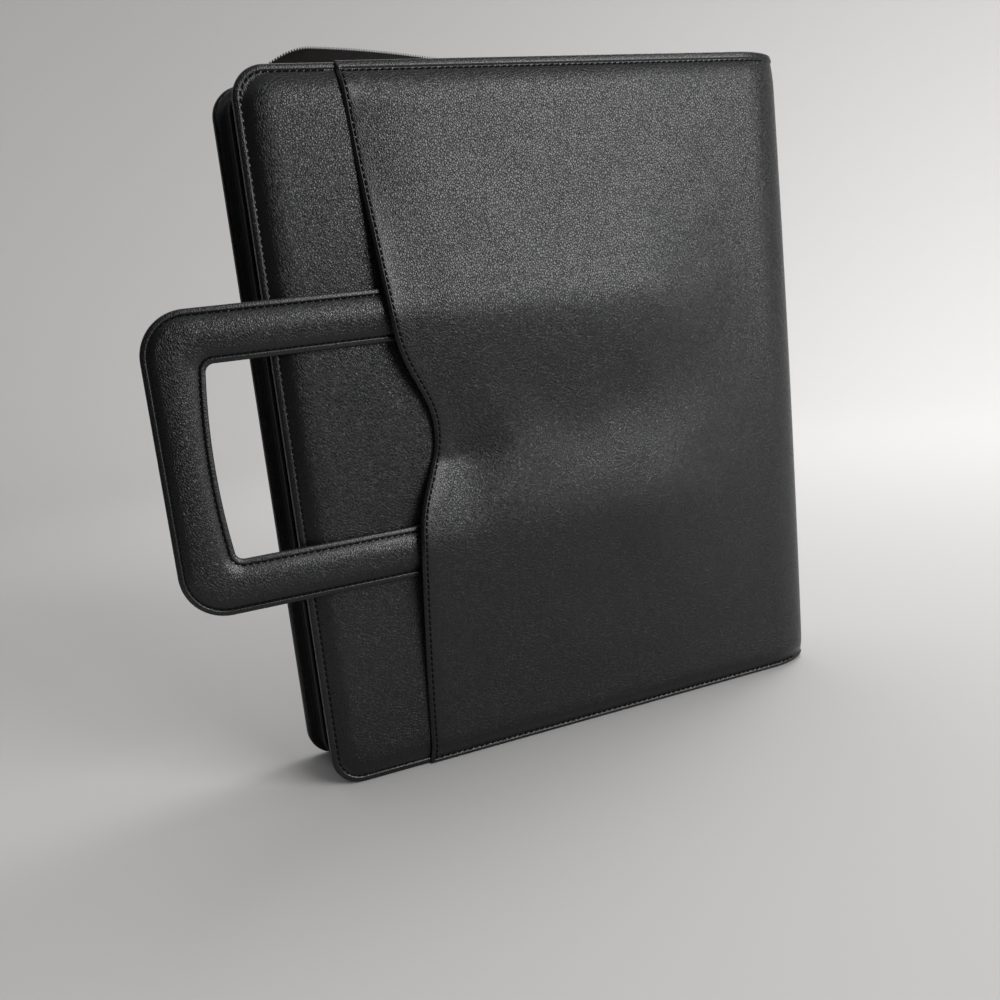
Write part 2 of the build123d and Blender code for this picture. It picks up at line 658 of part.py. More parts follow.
# Pen loop: an elastic ring on a sewn foot, beside the pad at mid height
with BuildPart() as pen_loop:
    loop_x = PAD_X[1] + PEN_LOOP_FROM_PAD + PEN_LOOP_RADIUS
    loop_y = BACK_LINING_Y - PEN_LOOP_RADIUS
    with BuildSketch(Plane.XY.offset(MIDDLE_Z - PEN_LOOP_LENGTH / 2)):
        with Locations((loop_x, loop_y)):
            Circle(PEN_LOOP_RADIUS)
        with Locations((loop_x, BACK_LINING_Y - PEN_LOOP_WALL / 2)):
            Rectangle(PEN_LOOP_FOOT, PEN_LOOP_WALL)
        with Locations((loop_x, loop_y)):
            Circle(PEN_LOOP_RADIUS - PEN_LOOP_WALL, mode=Mode.SUBTRACT)
    extrude(amount=PEN_LOOP_LENGTH)
finish(pen_loop, "pen_loop")

# Inside of the front cover: a document pocket with stepped card slots sewn on it
FRONT_LINING_Y = FRONT.depth(STACK)
DOCUMENT_FACE_Y = FRONT_LINING_Y + DOCUMENT_GAP + SLEEVE
CARD_X = (FORE_X + CARD_FROM_EDGE, FORE_X + CARD_FROM_EDGE + CARD_WIDTH)

with BuildPart() as document_pocket:
    sleeve(
        (FORE_X + DOCUMENT_MARGIN, TAPE_END_X - DOCUMENT_MARGIN),
        (DOCUMENT_MARGIN, DOCUMENT_MARGIN + DOCUMENT_HEIGHT),
        FRONT_LINING_Y,
        -FRONT.out,
        DOCUMENT_GAP,
        SLEEVE,
    )
finish(document_pocket, "document_pocket")

for index in range(CARD_SLOTS):
    slot_height = CARD_SLOT_HEIGHT + CARD_SLOT_STEP * (CARD_SLOTS - 1 - index)
    with BuildPart() as card_slot:
        sleeve(
            CARD_X,
            (CARD_BASE, CARD_BASE + slot_height),
            DOCUMENT_FACE_Y + index * (CARD_GAP + CARD_SHEET),
            -FRONT.out,
            CARD_GAP,
            CARD_SHEET,
        )
    finish(card_slot, f"card_slot_{index + 1}")
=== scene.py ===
"""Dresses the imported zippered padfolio: leather covers, pull-out handle, zip, pad and pockets.

Sizes are in millimetres, as on a maker's drawing, and meshes are written in metres.
The case stands on its tail edge: +X runs from the handle to the spine, +Y from the
front cover to the back cover, +Z up.
"""
import logging
import math
from collections.abc import Sequence
from dataclasses import dataclass
from enum import Enum

import bmesh
import bpy
import numpy as np
from mathutils import Matrix, Vector


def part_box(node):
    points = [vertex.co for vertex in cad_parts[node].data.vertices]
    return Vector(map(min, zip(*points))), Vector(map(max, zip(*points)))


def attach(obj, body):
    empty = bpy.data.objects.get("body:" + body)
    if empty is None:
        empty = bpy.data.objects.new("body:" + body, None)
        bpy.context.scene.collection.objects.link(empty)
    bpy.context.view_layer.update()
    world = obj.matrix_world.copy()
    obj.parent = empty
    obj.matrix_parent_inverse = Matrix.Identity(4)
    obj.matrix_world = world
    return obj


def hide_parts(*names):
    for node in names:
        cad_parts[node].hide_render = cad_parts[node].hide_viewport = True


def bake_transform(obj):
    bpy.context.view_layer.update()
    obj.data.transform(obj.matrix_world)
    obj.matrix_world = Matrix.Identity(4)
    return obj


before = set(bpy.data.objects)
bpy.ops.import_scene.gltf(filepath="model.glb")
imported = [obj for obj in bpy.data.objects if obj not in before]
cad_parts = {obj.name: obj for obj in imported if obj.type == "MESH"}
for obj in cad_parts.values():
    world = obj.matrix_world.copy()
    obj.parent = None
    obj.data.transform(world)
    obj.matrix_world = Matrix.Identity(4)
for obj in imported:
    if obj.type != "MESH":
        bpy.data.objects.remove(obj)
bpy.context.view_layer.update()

LOG = logging.getLogger("padfolio")
MM = 0.001
WELD = 0.004  # points of one piece that lie closer than this are one point
SHARP_EDGE = 48.0  # degrees; steeper edges stay crisp under smooth shading
RIPPLE_SEED = 11
GRAIN = "grain"  # point weight that says how strongly a finish's grain shows
GRAIN_SLOPE = 9.0  # it grows to full over this much beside a hem
WAVE_TURN = 20.0  # radians per metre of a wave texture at scale 1
NOISE_LOW, NOISE_HIGH = 0.3, 0.7  # most of a noise lies between these
PADDING_POWER = 2.3  # how full padding is beside its seam
RIPPLE_WAVES = 14
RIPPLE_SPREAD = (0.7, 1.8)  # shortest and longest wave, as shares of the typical width
TINY = 1e-9  # keeps a length that is divided by above zero
RIVET_RADIUS = 2.6
STRAP_EDGE = 0.35  # bevel of a strap's edges, in thicknesses


class Slot(Enum):
    """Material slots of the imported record."""

    LEATHER = "black_leather"
    LINING = "lining_cloth"
    TAPE = "zip_tape_cloth"
    COIL = "zip_coil_plastic"
    METAL = "zip_metal"
    CORE = "handle_core_plastic"
    RIVET = "rivet_metal"
    BACKING = "pad_backing"
    SHEETS = "pad_sheets"
    BINDING = "pad_binding"
    ELASTIC = "elastic"


class Body(Enum):
    """Bodies that the dressed pieces ride on."""

    BACK = "back_cover"
    SPINE = "spine"
    FRONT = "front_cover"
    HANDLE = "handle"


class Side(Enum):
    """One half of the case; the value is the way its outside faces along Y."""

    FRONT = -1
    BACK = 1

    @property
    def label(self) -> str:
        """Name of this half in the names of nodes and pieces."""
        return self.name.lower()

    @property
    def body(self) -> Body:
        """Body that this half's pieces ride on."""
        return Body[self.name]


# Finishes


class NodeBench:
    """Adds and links the nodes of one new material."""

    def __init__(self, name: str) -> None:
        """Makes an empty material with a Principled shader.

        Args:
            name: Name of the material.
        """
        self.material = bpy.data.materials.new(name)
        self.material.use_nodes = True
        self.nodes = self.material.node_tree.nodes
        self.shader = self.nodes["Principled BSDF"]

    def add(self, kind: str, settings: dict | None = None, **values: object) -> bpy.types.Node:
        """Adds a node.

        Args:
            kind: Node type without its ShaderNode prefix.
            settings: Properties of the node itself.
            **values: Values of its sockets, with underscores for spaces.

        Returns:
            The new node.
        """
        node = self.nodes.new(f"ShaderNode{kind}")
        for key, value in (settings or {}).items():
            setattr(node, key, value)
        for key, value in values.items():
            node.inputs[key.replace("_", " ")].default_value = value
        return node

    def link(self, source: bpy.types.Node, output: str, target: bpy.types.Node, socket: str | int) -> None:
        """Joins an output of one node to a socket of another."""
        self.material.node_tree.links.new(source.outputs[output], target.inputs[socket])

    def place(self, rotation: float = 0.0, scale: Sequence[float] = (1, 1, 1)) -> bpy.types.Node:
        """Adds object coordinates, turned about Y and stretched.

        Args:
            rotation: Turn about Y, in degrees.
            scale: Scale along each axis.

        Returns:
            The mapping node.
        """
        spot = self.add("TexCoord")
        turned = self.add("Mapping", Rotation=(0, math.radians(rotation), 0), Scale=scale)
        self.link(spot, "Object", turned, "Vector")
        return turned

    def noise(
        self, place: bpy.types.Node, size: float, detail: float = 2, distortion: float = 0
    ) -> bpy.types.Node:
        """Adds a noise.

        Args:
            place: Node that gives the place.
            size: About how wide a blotch is, in millimetres.
            detail: Number of finer layers.
            distortion: How far the blotches are bent.

        Returns:
            The noise node.
        """
        node = self.add("TexNoise", Scale=1 / (size * MM), Detail=detail, Distortion=distortion)
        self.link(place, "Vector", node, "Vector")
        return node

    def wave(self, place: bpy.types.Node, pitch: float, settings: dict, **values: object) -> bpy.types.Node:
        """Adds evenly spaced bands.

        Args:
            place: Node that gives the place.
            pitch: Spacing of the bands in millimetres.
            settings: Direction and section of the bands.
            **values: Values of the node's other sockets.

        Returns:
            The wave node.
        """
        node = self.add("TexWave", settings, Scale=math.tau / (WAVE_TURN * pitch * MM), **values)
        self.link(place, "Vector", node, "Vector")
        return node

    def ranged(
        self, source: bpy.types.Node, output: str, settings: dict | None = None, **limits: object
    ) -> bpy.types.Node:
        """Maps an output from one range to another.

        Args:
            source: Node that gives the value.
            output: Its output.
            settings: Properties of the mapping.
            **limits: Ends of the two ranges; those left out are 0 and 1.

        Returns:
            The mapping node.
        """
        node = self.add("MapRange", settings, **limits)
        self.link(source, output, node, "Value")
        return node

    def bump(
        self,
        source: bpy.types.Node,
        output: str,
        depth: float,
        under: bpy.types.Node | None = None,
        strength: float = 1.0,
    ) -> bpy.types.Node:
        """Adds relief to the shader's normal.

        Args:
            source: Node that gives the height.
            output: Its output.
            depth: Height of the relief in millimetres.
            under: Relief that this one lies on.
            strength: Share of the relief that shows.

        Returns:
            The bump node, joined to the shader.
        """
        node = self.add("Bump", Strength=strength, Distance=depth * MM)
        self.link(source, output, node, "Height")
        if under is not None:
            self.link(under, "Normal", node, "Normal")
        self.link(node, "Normal", self.shader, "Normal")
        return node

    def tint(self, source: bpy.types.Node, output: str, stops: Sequence[tuple[float, tuple]]) -> None:
        """Colours the shader along a ramp.

        Args:
            source: Node that gives the place along the ramp.
            output: Its output.
            stops: Places from 0 to 1 with their colours.
        """
        ramp = self.add("ValToRGB")
        elements = ramp.color_ramp.elements
        while len(elements) < len(stops):
            elements.new(1.0)
        for element, (at, color) in zip(elements, stops):
            element.position = at
            element.color = (*color, 1.0)
        self.link(source, output, ramp, "Fac")
        self.link(ramp, "Color", self.shader, "Base Color")

    def mottle(self, noise: bpy.types.Node, color: Sequence[float], tones: Sequence[float]) -> None:
        """Colours the shader in a noise's blotches, between two tones of a colour."""
        low, high = (shade(color, tone) for tone in tones)
        self.tint(noise, "Fac", ((NOISE_LOW, low), (NOISE_HIGH, high)))


def shade(color: Sequence[float], share: float) -> tuple:
    """A colour made lighter or darker by a share."""
    return tuple(channel * share for channel in color)


@dataclass(frozen=True)
class Finish:
    """A surface: the record slot that it belongs to, its colour and its gloss."""

    name: str
    slot: Slot
    color: tuple
    roughness: float

    def material(self) -> bpy.types.Material:
        """The finish's material, made the first time that it is asked for.

        Returns:
            The material.
        """
        found = bpy.data.materials.get(self.name)
        if found is not None:
            return found
        bench = NodeBench(self.name)
        bench.shader.inputs["Base Color"].default_value = (*self.color, 1.0)
        bench.shader.inputs["Roughness"].default_value = self.roughness
        self.detail(bench)
        return bench.material

    def detail(self, bench: NodeBench) -> None:
        """Adds the pattern and relief of the surface to the nodes of its new material."""
        raise NotImplementedError


@dataclass(frozen=True)
class Leather(Finish):
    """Coated leather: pebbled grain, soft creases and a patchy semi-gloss, with painted shade in the grain's
    valleys and painted light on its tops.
    """

    grain: float = 0.95  # width of a pebble
    valley: float = 0.075  # depth of the valleys between pebbles
    valley_width: float = 0.15  # in pebbles
    tip: float = 0.17  # height by which the pebbles rise and fall
    tip_width: float = 0.65  # of a rise, in pebbles
    slant: float = 34.0  # degrees; the pebbles lean this way
    stretch: float = 0.72  # below 1 the pebbles are drawn out along their lean
    warp: float = 2.2  # width of the bends in their rows
    warp_reach: float = 0.0007  # metres; how far those bends go
    crease: float = 14.0  # width of a crease
    crease_depth: float = 0.3
    crease_share: float = 0.2  # of the creases that shows
    patch: float = 38.0  # width of a patch of one gloss
    gloss_spread: float = 0.05  # of the roughness from patch to patch
    dull: float = 0.45  # roughness down in the valleys
    valley_shade_tone: float = 0.15  # painted shade in the valleys: their colour, as a share
    top_light_tone: float = 1.6  # painted light on the pebbles' tops: their colour, as a share
    specular: float = 0.36

    def detail(self, bench: NodeBench) -> None:
        """Adds pebbles with valleys between them, each tipped its own way, over faint creases, with painted
        shade in the valleys and painted light on the tops.

        Args:
            bench: Nodes of the new material.
        """
        bench.shader.inputs["Specular IOR Level"].default_value = self.specular
        place = bench.place(self.slant, (1, 1, self.stretch))
        warp = bench.noise(place, self.warp, detail=1)
        bent = bench.add("VectorMath", {"operation": "MULTIPLY_ADD"})
        bent.inputs[1].default_value = (self.warp_reach,) * 3
        bench.link(warp, "Color", bent, 0)
        bench.link(place, "Vector", bent, 2)
        pebbles = bench.add("TexVoronoi", {"feature": "DISTANCE_TO_EDGE"}, Scale=1 / (self.grain * MM))
        bench.link(bent, "Vector", pebbles, "Vector")
        eased = {"interpolation_type": "SMOOTHSTEP"}
        tops = bench.ranged(pebbles, "Distance", eased, From_Max=self.valley_width)
        tipped = bench.noise(bent, self.grain * self.tip_width, detail=1)
        creases = bench.noise(place, self.crease, detail=5, distortion=1.2)
        gloss = bench.noise(place, self.patch, detail=3)
        shown = bench.add("Attribute", {"attribute_name": GRAIN})
        relief = bench.bump(creases, "Fac", self.crease_depth, strength=self.crease_share)
        for source, output, depth in ((tipped, "Fac", self.tip), (tops, "Result", self.valley)):
            relief = bench.bump(source, output, depth, relief)
            bench.link(shown, "Fac", relief, "Strength")
        shiny, matt = self.roughness - self.gloss_spread, self.roughness + self.gloss_spread
        polish = bench.ranged(gloss, "Fac", To_Min=shiny, To_Max=matt)
        worn = bench.ranged(tops, "Result", To_Min=self.dull)
        bench.link(polish, "Result", worn, "To Max")
        bench.link(worn, "Result", bench.shader, "Roughness")
        # Painted shade and light: the colour is darkest down in the valleys between pebbles and lightest on
        # their tops.
        low, high = shade(self.color, self.valley_shade_tone), shade(self.color, self.top_light_tone)
        bench.tint(tops, "Result", ((0.0, low), (1.0, high)))


@dataclass(frozen=True)
class Woven(Finish):
    """Woven cloth: crossing threads, with slubs."""

    thread: float = 0.5  # spacing of the threads
    depth: float = 0.06
    slub: float = 0.6  # how unevenly the threads run
    dye: float = 3.0  # width of a patch of one dye
    tones: tuple = (0.75, 1.3)  # darkest and lightest patch, as shares of the colour
    specular: float = 0.18

    def detail(self, bench: NodeBench) -> None:
        """Adds the threads as crossing waves, and uneven dye.

        Args:
            bench: Nodes of the new material.
        """
        bench.shader.inputs["Specular IOR Level"].default_value = self.specular
        place = bench.place()
        relief = None
        for axis in ("X", "Z", "Y"):
            along = {"bands_direction": axis}
            threads = bench.wave(place, self.thread, along, Distortion=self.slub, Detail=1.0)
            relief = bench.bump(threads, "Fac", self.depth, relief)
        dye = bench.noise(place, self.dye, detail=4)
        bench.mottle(dye, self.color, self.tones)


@dataclass(frozen=True)
class Moulded(Finish):
    """Plastic, thread or lacquer: an even colour with a fine uneven surface."""

    metallic: float = 0.0
    specular: float = 0.5
    grain: float = 0.6  # width of the fine texture
    depth: float = 0.02
    patch: float = 12.0  # width of a patch of one gloss, in grains
    gloss_spread: tuple = (-0.06, 0.08)  # of the roughness from patch to patch
    tones: tuple = (0.8, 1.2)  # darkest and lightest patch, as shares of the colour

    def detail(self, bench: NodeBench) -> None:
        """Adds a fine texture and patches of gloss.

        Args:
            bench: Nodes of the new material.
        """
        bench.shader.inputs["Metallic"].default_value = self.metallic
        bench.shader.inputs["Specular IOR Level"].default_value = self.specular
        place = bench.place()
        skin = bench.noise(place, self.grain, detail=3)
        patches = bench.noise(place, self.grain * self.patch)
        bench.bump(skin, "Fac", self.depth)
        shiny, matt = (self.roughness + more for more in self.gloss_spread)
        gloss = bench.ranged(
            patches, "Fac", From_Min=NOISE_LOW, From_Max=NOISE_HIGH, To_Min=shiny, To_Max=matt
        )
        bench.link(gloss, "Result", bench.shader, "Roughness")
        bench.mottle(patches, self.color, self.tones)


@dataclass(frozen=True)
class Paper(Finish):
    """Paper or card: fibres, and ruled lines where a pitch is given."""

    ruling: float = 0.0  # spacing of the ruled lines; 0 leaves the sheet plain
    ink: tuple = (0.30, 0.42, 0.55)
    line: float = 0.045  # width of a ruled line, as a share of the spacing
    fibre: float = 0.5
    depth: float = 0.02
    tones: tuple = (0.9, 1.05)  # of a plain sheet, as shares of the colour

    def detail(self, bench: NodeBench) -> None:
        """Adds fibres, and lines across the sheet.

        Args:
            bench: Nodes of the new material.
        """
        place = bench.place()
        fibres = bench.noise(place, self.fibre, detail=4)
        bench.bump(fibres, "Fac", self.depth)
        if not self.ruling:
            bench.mottle(fibres, self.color, self.tones)
            return
        rules = bench.wave(place, self.ruling, {"bands_direction": "Z", "wave_profile": "SAW"})
        plain, middle = self.color, 1 - self.line
        stops = ((0.0, plain), (1 - 2 * self.line, plain), (middle, self.ink), (1.0, plain))
        bench.tint(rules, "Fac", stops)


OUTER_LEATHER = Leather("coated_leather", Slot.LEATHER, (0.0036, 0.0038, 0.0043), 0.2)
HANDLE_LEATHER = Leather("handle_leather", Slot.LEATHER, (0.0034, 0.0036, 0.004), 0.2, specular=0.4)
THREAD = Moulded("sewing_thread", Slot.LEATHER, (0.0025, 0.0025, 0.0028), 0.75, specular=0.06, grain=0.25)
LINING = Woven("lining_twill", Slot.LINING, (0.022, 0.022, 0.025), 0.8)
POCKET_CLOTH = Woven("pocket_canvas", Slot.LINING, (0.032, 0.032, 0.035), 0.75, thread=0.9, depth=0.1)
TAPE = Woven("zip_tape_weave", Slot.TAPE, (0.006, 0.0053, 0.0049), 0.8, thread=0.4, specular=0.05)
COIL = Moulded("zip_coil_nylon", Slot.COIL, (0.02, 0.019, 0.019), 0.38)
LACQUER = Moulded("lacquered_metal", Slot.METAL, (0.05, 0.05, 0.055), 0.3, metallic=0.7)
NICKEL = Moulded("rivet_nickel", Slot.RIVET, (0.6, 0.6, 0.58), 0.25, metallic=1.0)
CORE = Moulded("stiffener_sheet", Slot.CORE, (0.03, 0.03, 0.03), 0.6)
CARD = Paper("pulp_board", Slot.BACKING, (0.42, 0.34, 0.24), 0.85)
SHEETS = Paper("ruled_sheets", Slot.SHEETS, (0.84, 0.83, 0.78), 0.8, ruling=8.0)
BINDING = Woven("binding_tape", Slot.BINDING, (0.03, 0.03, 0.034), 0.7, thread=0.6)
ELASTIC = Woven("loop_elastic", Slot.ELASTIC, (0.02, 0.02, 0.02), 0.75, thread=0.8, depth=0.12)


# Mesh building


class Draft:
    """Gathers the points and faces of one piece, in millimetres."""

    def __init__(self) -> None:
        """Starts with nothing."""
        self.points: list[np.ndarray] = []
        self.grain: list[np.ndarray] = []
        self.faces: list[tuple] = []
        self.count = 0

    def add(self, points: np.ndarray, faces: Sequence[Sequence[int]], grain: np.ndarray | float = 1.0) -> int:
        """Adds points and the faces between them.

        Args:
            points: Array of points, three numbers each.
            faces: Faces, by the points' places in that array.
            grain: How strongly the finish's grain shows at the points, from 0 to 1.

        Returns:
            Number of the first of these points in the draft.
        """
        first = self.count
        self.points.append(np.asarray(points, float).reshape(-1, 3))
        self.grain.append(np.broadcast_to(grain, np.shape(points)[:-1]).reshape(-1))
        self.count += len(self.points[-1])
        self.faces.extend(tuple(first + int(i) for i in face) for face in faces)
        return first

    def grid(self, points: np.ndarray, wrap: bool = False, grain: np.ndarray | float = 1.0) -> int:
        """Adds a sheet of four-sided faces over rows and columns of points.

        Args:
            points: Array of rows by columns by 3.
            wrap: Whether the last column joins the first.
            grain: How strongly the finish's grain shows, from 0 to 1.

        Returns:
            Number of the first of these points in the draft.
        """
        rows, columns = points.shape[:2]
        index = np.arange(rows * columns).reshape(rows, columns)
        if wrap:
            index = np.hstack([index, index[:, :1]])
        faces = np.stack([index[:-1, :-1], index[1:, :-1], index[1:, 1:], index[:-1, 1:]], axis=-1)
        return self.add(points, faces.reshape(-1, 4), grain)

    def tube(self, points: np.ndarray, grain: np.ndarray | float = 1.0) -> None:
        """Adds a closed tube over rings of points, with flat ends.

        Args:
            points: Array of rings by points by 3.
            grain: How strongly the finish's grain shows, from 0 to 1.
        """
        first = self.grid(points, wrap=True, grain=grain)
        rings, count = points.shape[:2]
        for start in (first, first + (rings - 1) * count):
            self.faces.append(tuple(range(start, start + count)))

    def slab(self, x: Sequence[float], y: Sequence[float], z: Sequence[float], bevel: float = 0.0) -> None:
        """Adds a block between two limits on each axis, with rounded edges.

        Args:
            x: Lowest and highest X.
            y: Lowest and highest Y.
            z: Lowest and highest Z.
            bevel: Radius of the edges.
        """
        block = bmesh.new()
        size = [high - low for low, high in (x, y, z)]
        middle = [(high + low) / 2 for low, high in (x, y, z)]
        shape = Matrix.Translation(middle) @ Matrix.Diagonal((*size, 1.0))
        bmesh.ops.create_cube(block, size=1.0, matrix=shape)
        if bevel:
            bmesh.ops.bevel(block, geom=block.edges[:], offset=bevel, segments=3, profile=0.5, affect="EDGES")
        block.verts.index_update()
        self.add(np.array([v.co for v in block.verts]), [[v.index for v in f.verts] for f in block.faces])
        block.free()

    def make(self, name: str, finish: Finish, sharp: float = SHARP_EDGE) -> bpy.types.Object:
        """Makes the mesh object, welded, facing outwards and smooth shaded.

        Args:
            name: Name of the piece.
            finish: Its surface.
            sharp: Angle in degrees above which an edge stays crisp.

        Returns:
            The new object.
        """
        mesh = bpy.data.meshes.new(name)
        mesh.from_pydata((np.vstack(self.points) * MM).tolist(), [], self.faces)
        weights = mesh.attributes.new(GRAIN, "FLOAT", "POINT")
        weights.data.foreach_set("value", np.concatenate(self.grain).astype(np.float32))
        work = bmesh.new()
        work.from_mesh(mesh)
        bmesh.ops.remove_doubles(work, verts=work.verts[:], dist=WELD * MM)
        bmesh.ops.recalc_face_normals(work, faces=work.faces[:])
        work.to_mesh(mesh)
        work.free()
        mesh.shade_smooth()
        mesh.set_sharp_from_angle(angle=math.radians(sharp))
        mesh.materials.append(finish.material())
        piece = bpy.data.objects.new(name, mesh)
        bpy.context.scene.collection.objects.link(piece)
        return piece


def ride(piece: bpy.types.Object, body: Body, *nodes: str) -> bpy.types.Object:
    """Lets a piece move with a body and stand for the nodes that it dresses.

    Args:
        piece: The finished piece.
        body: Body that it moves with.
        *nodes: Nodes that it stands for.

    Returns:
        The same piece.
    """
    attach(piece, body.value)
    if nodes:
        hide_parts(*nodes)
    LOG.info("%s rides on %s with %d points", piece.name, body.value, len(piece.data.vertices))
    return piece


def keep_solid(node: str, finish: Finish) -> None:
    """Dresses a CAD node that keeps its own solid.

    Args:
        node: Name of the node.
        finish: Its surface.
    """
    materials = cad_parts[node].data.materials
    materials.clear()
    materials.append(finish.material())
    LOG.info("%s keeps its solid", node)


def smooth(share: np.ndarray | float) -> np.ndarray | float:
    """Eases from 0 to 1 with level ends, and stays there outside."""
    share = np.clip(share, 0.0, 1.0)
    return share * share * (3 - 2 * share)


def puff(share: np.ndarray | float) -> np.ndarray | float:
    """Rises from 0 to 1 as padding does: evenly from its seam, then easing to level."""
    return 1 - (1 - np.clip(share, 0.0, 1.0)) ** PADDING_POWER


def ripples(x: np.ndarray, z: np.ndarray, size: float, seed: int = RIPPLE_SEED) -> np.ndarray:
    """Gives a gentle uneven swelling between about -1 and 1.

    Args:
        x: Places across.
        z: Places up.
        size: Typical width of a swelling.
        seed: Number that picks the pattern.

    Returns:
        The swelling at each place.
    """
    pick = np.random.default_rng(seed)
    total = np.zeros_like(x, dtype=float)
    for _ in range(RIPPLE_WAVES):
        turn, phase = pick.uniform(0, math.tau, 2)
        step = size * pick.uniform(*RIPPLE_SPREAD)
        total += np.sin((x * math.cos(turn) + z * math.sin(turn)) * math.tau / step + phase)
    return total / math.sqrt(RIPPLE_WAVES)


def steps(start: float, end: float, step: float) -> np.ndarray:
    """Even steps of about a size from start to end, both included."""
    return np.linspace(start, end, max(2, round(abs(end - start) / step) + 1))


def runs(points: np.ndarray) -> np.ndarray:
    """Distance of each point of a line from its start, along the line."""
    return np.concatenate([[0.0], np.cumsum(np.linalg.norm(np.diff(points, axis=0), axis=1))])


def sample(spots: np.ndarray, run: np.ndarray, values: np.ndarray) -> np.ndarray:
    """Values at some distances along a line, from those at the distances of its points."""
    return np.stack([np.interp(spots, run, axis) for axis in values.T], axis=1)


def surface_normals(points: np.ndarray, outward: Sequence[float]) -> np.ndarray:
    """Finds the directions out of a surface.

    Args:
        points: Array of rows by columns by 3.
        outward: Rough direction out of it.

    Returns:
        A direction for each point.
    """
    normals = np.cross(np.gradient(points, axis=0), np.gradient(points, axis=1))
    normals /= np.maximum(np.linalg.norm(normals, axis=-1, keepdims=True), TINY)
    return normals * np.sign(normals @ np.asarray(outward, float))[..., None]


@dataclass(frozen=True)
class Extent:
    """Lowest and highest place of a CAD node on each axis, in millimetres."""

    x: tuple
    y: tuple
    z: tuple

    @classmethod
    def of(cls, node: str) -> "Extent":
        """Measures the CAD node of this name."""
        return cls(*((low / MM, high / MM) for low, high in zip(*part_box(node))))


def build_block(name: str, finish: Finish, body: Body, extent: Extent, edge: float, *nodes: str) -> None:
    """Builds and dresses a block with rounded edges.

    Args:
        name: Name of the piece.
        finish: Its surface.
        body: Body that it moves with.
        extent: Its limits.
        edge: Radius of its edges.
        *nodes: Nodes that it stands for.
    """
    draft = Draft()
    draft.slab(extent.x, extent.y, extent.z, edge)
    ride(draft.make(name, finish), body, *nodes)


@dataclass(frozen=True)
class EdgeProfile:
    """Section of a panel's edge, from its underside, round the edge, to its top.

    Each line is how far in from the outline it lies, and how high above the face that
    the panel lies on. The groove is the line that the stitches lie in.
    """

    lines: tuple
    first_upper: int
    groove: int


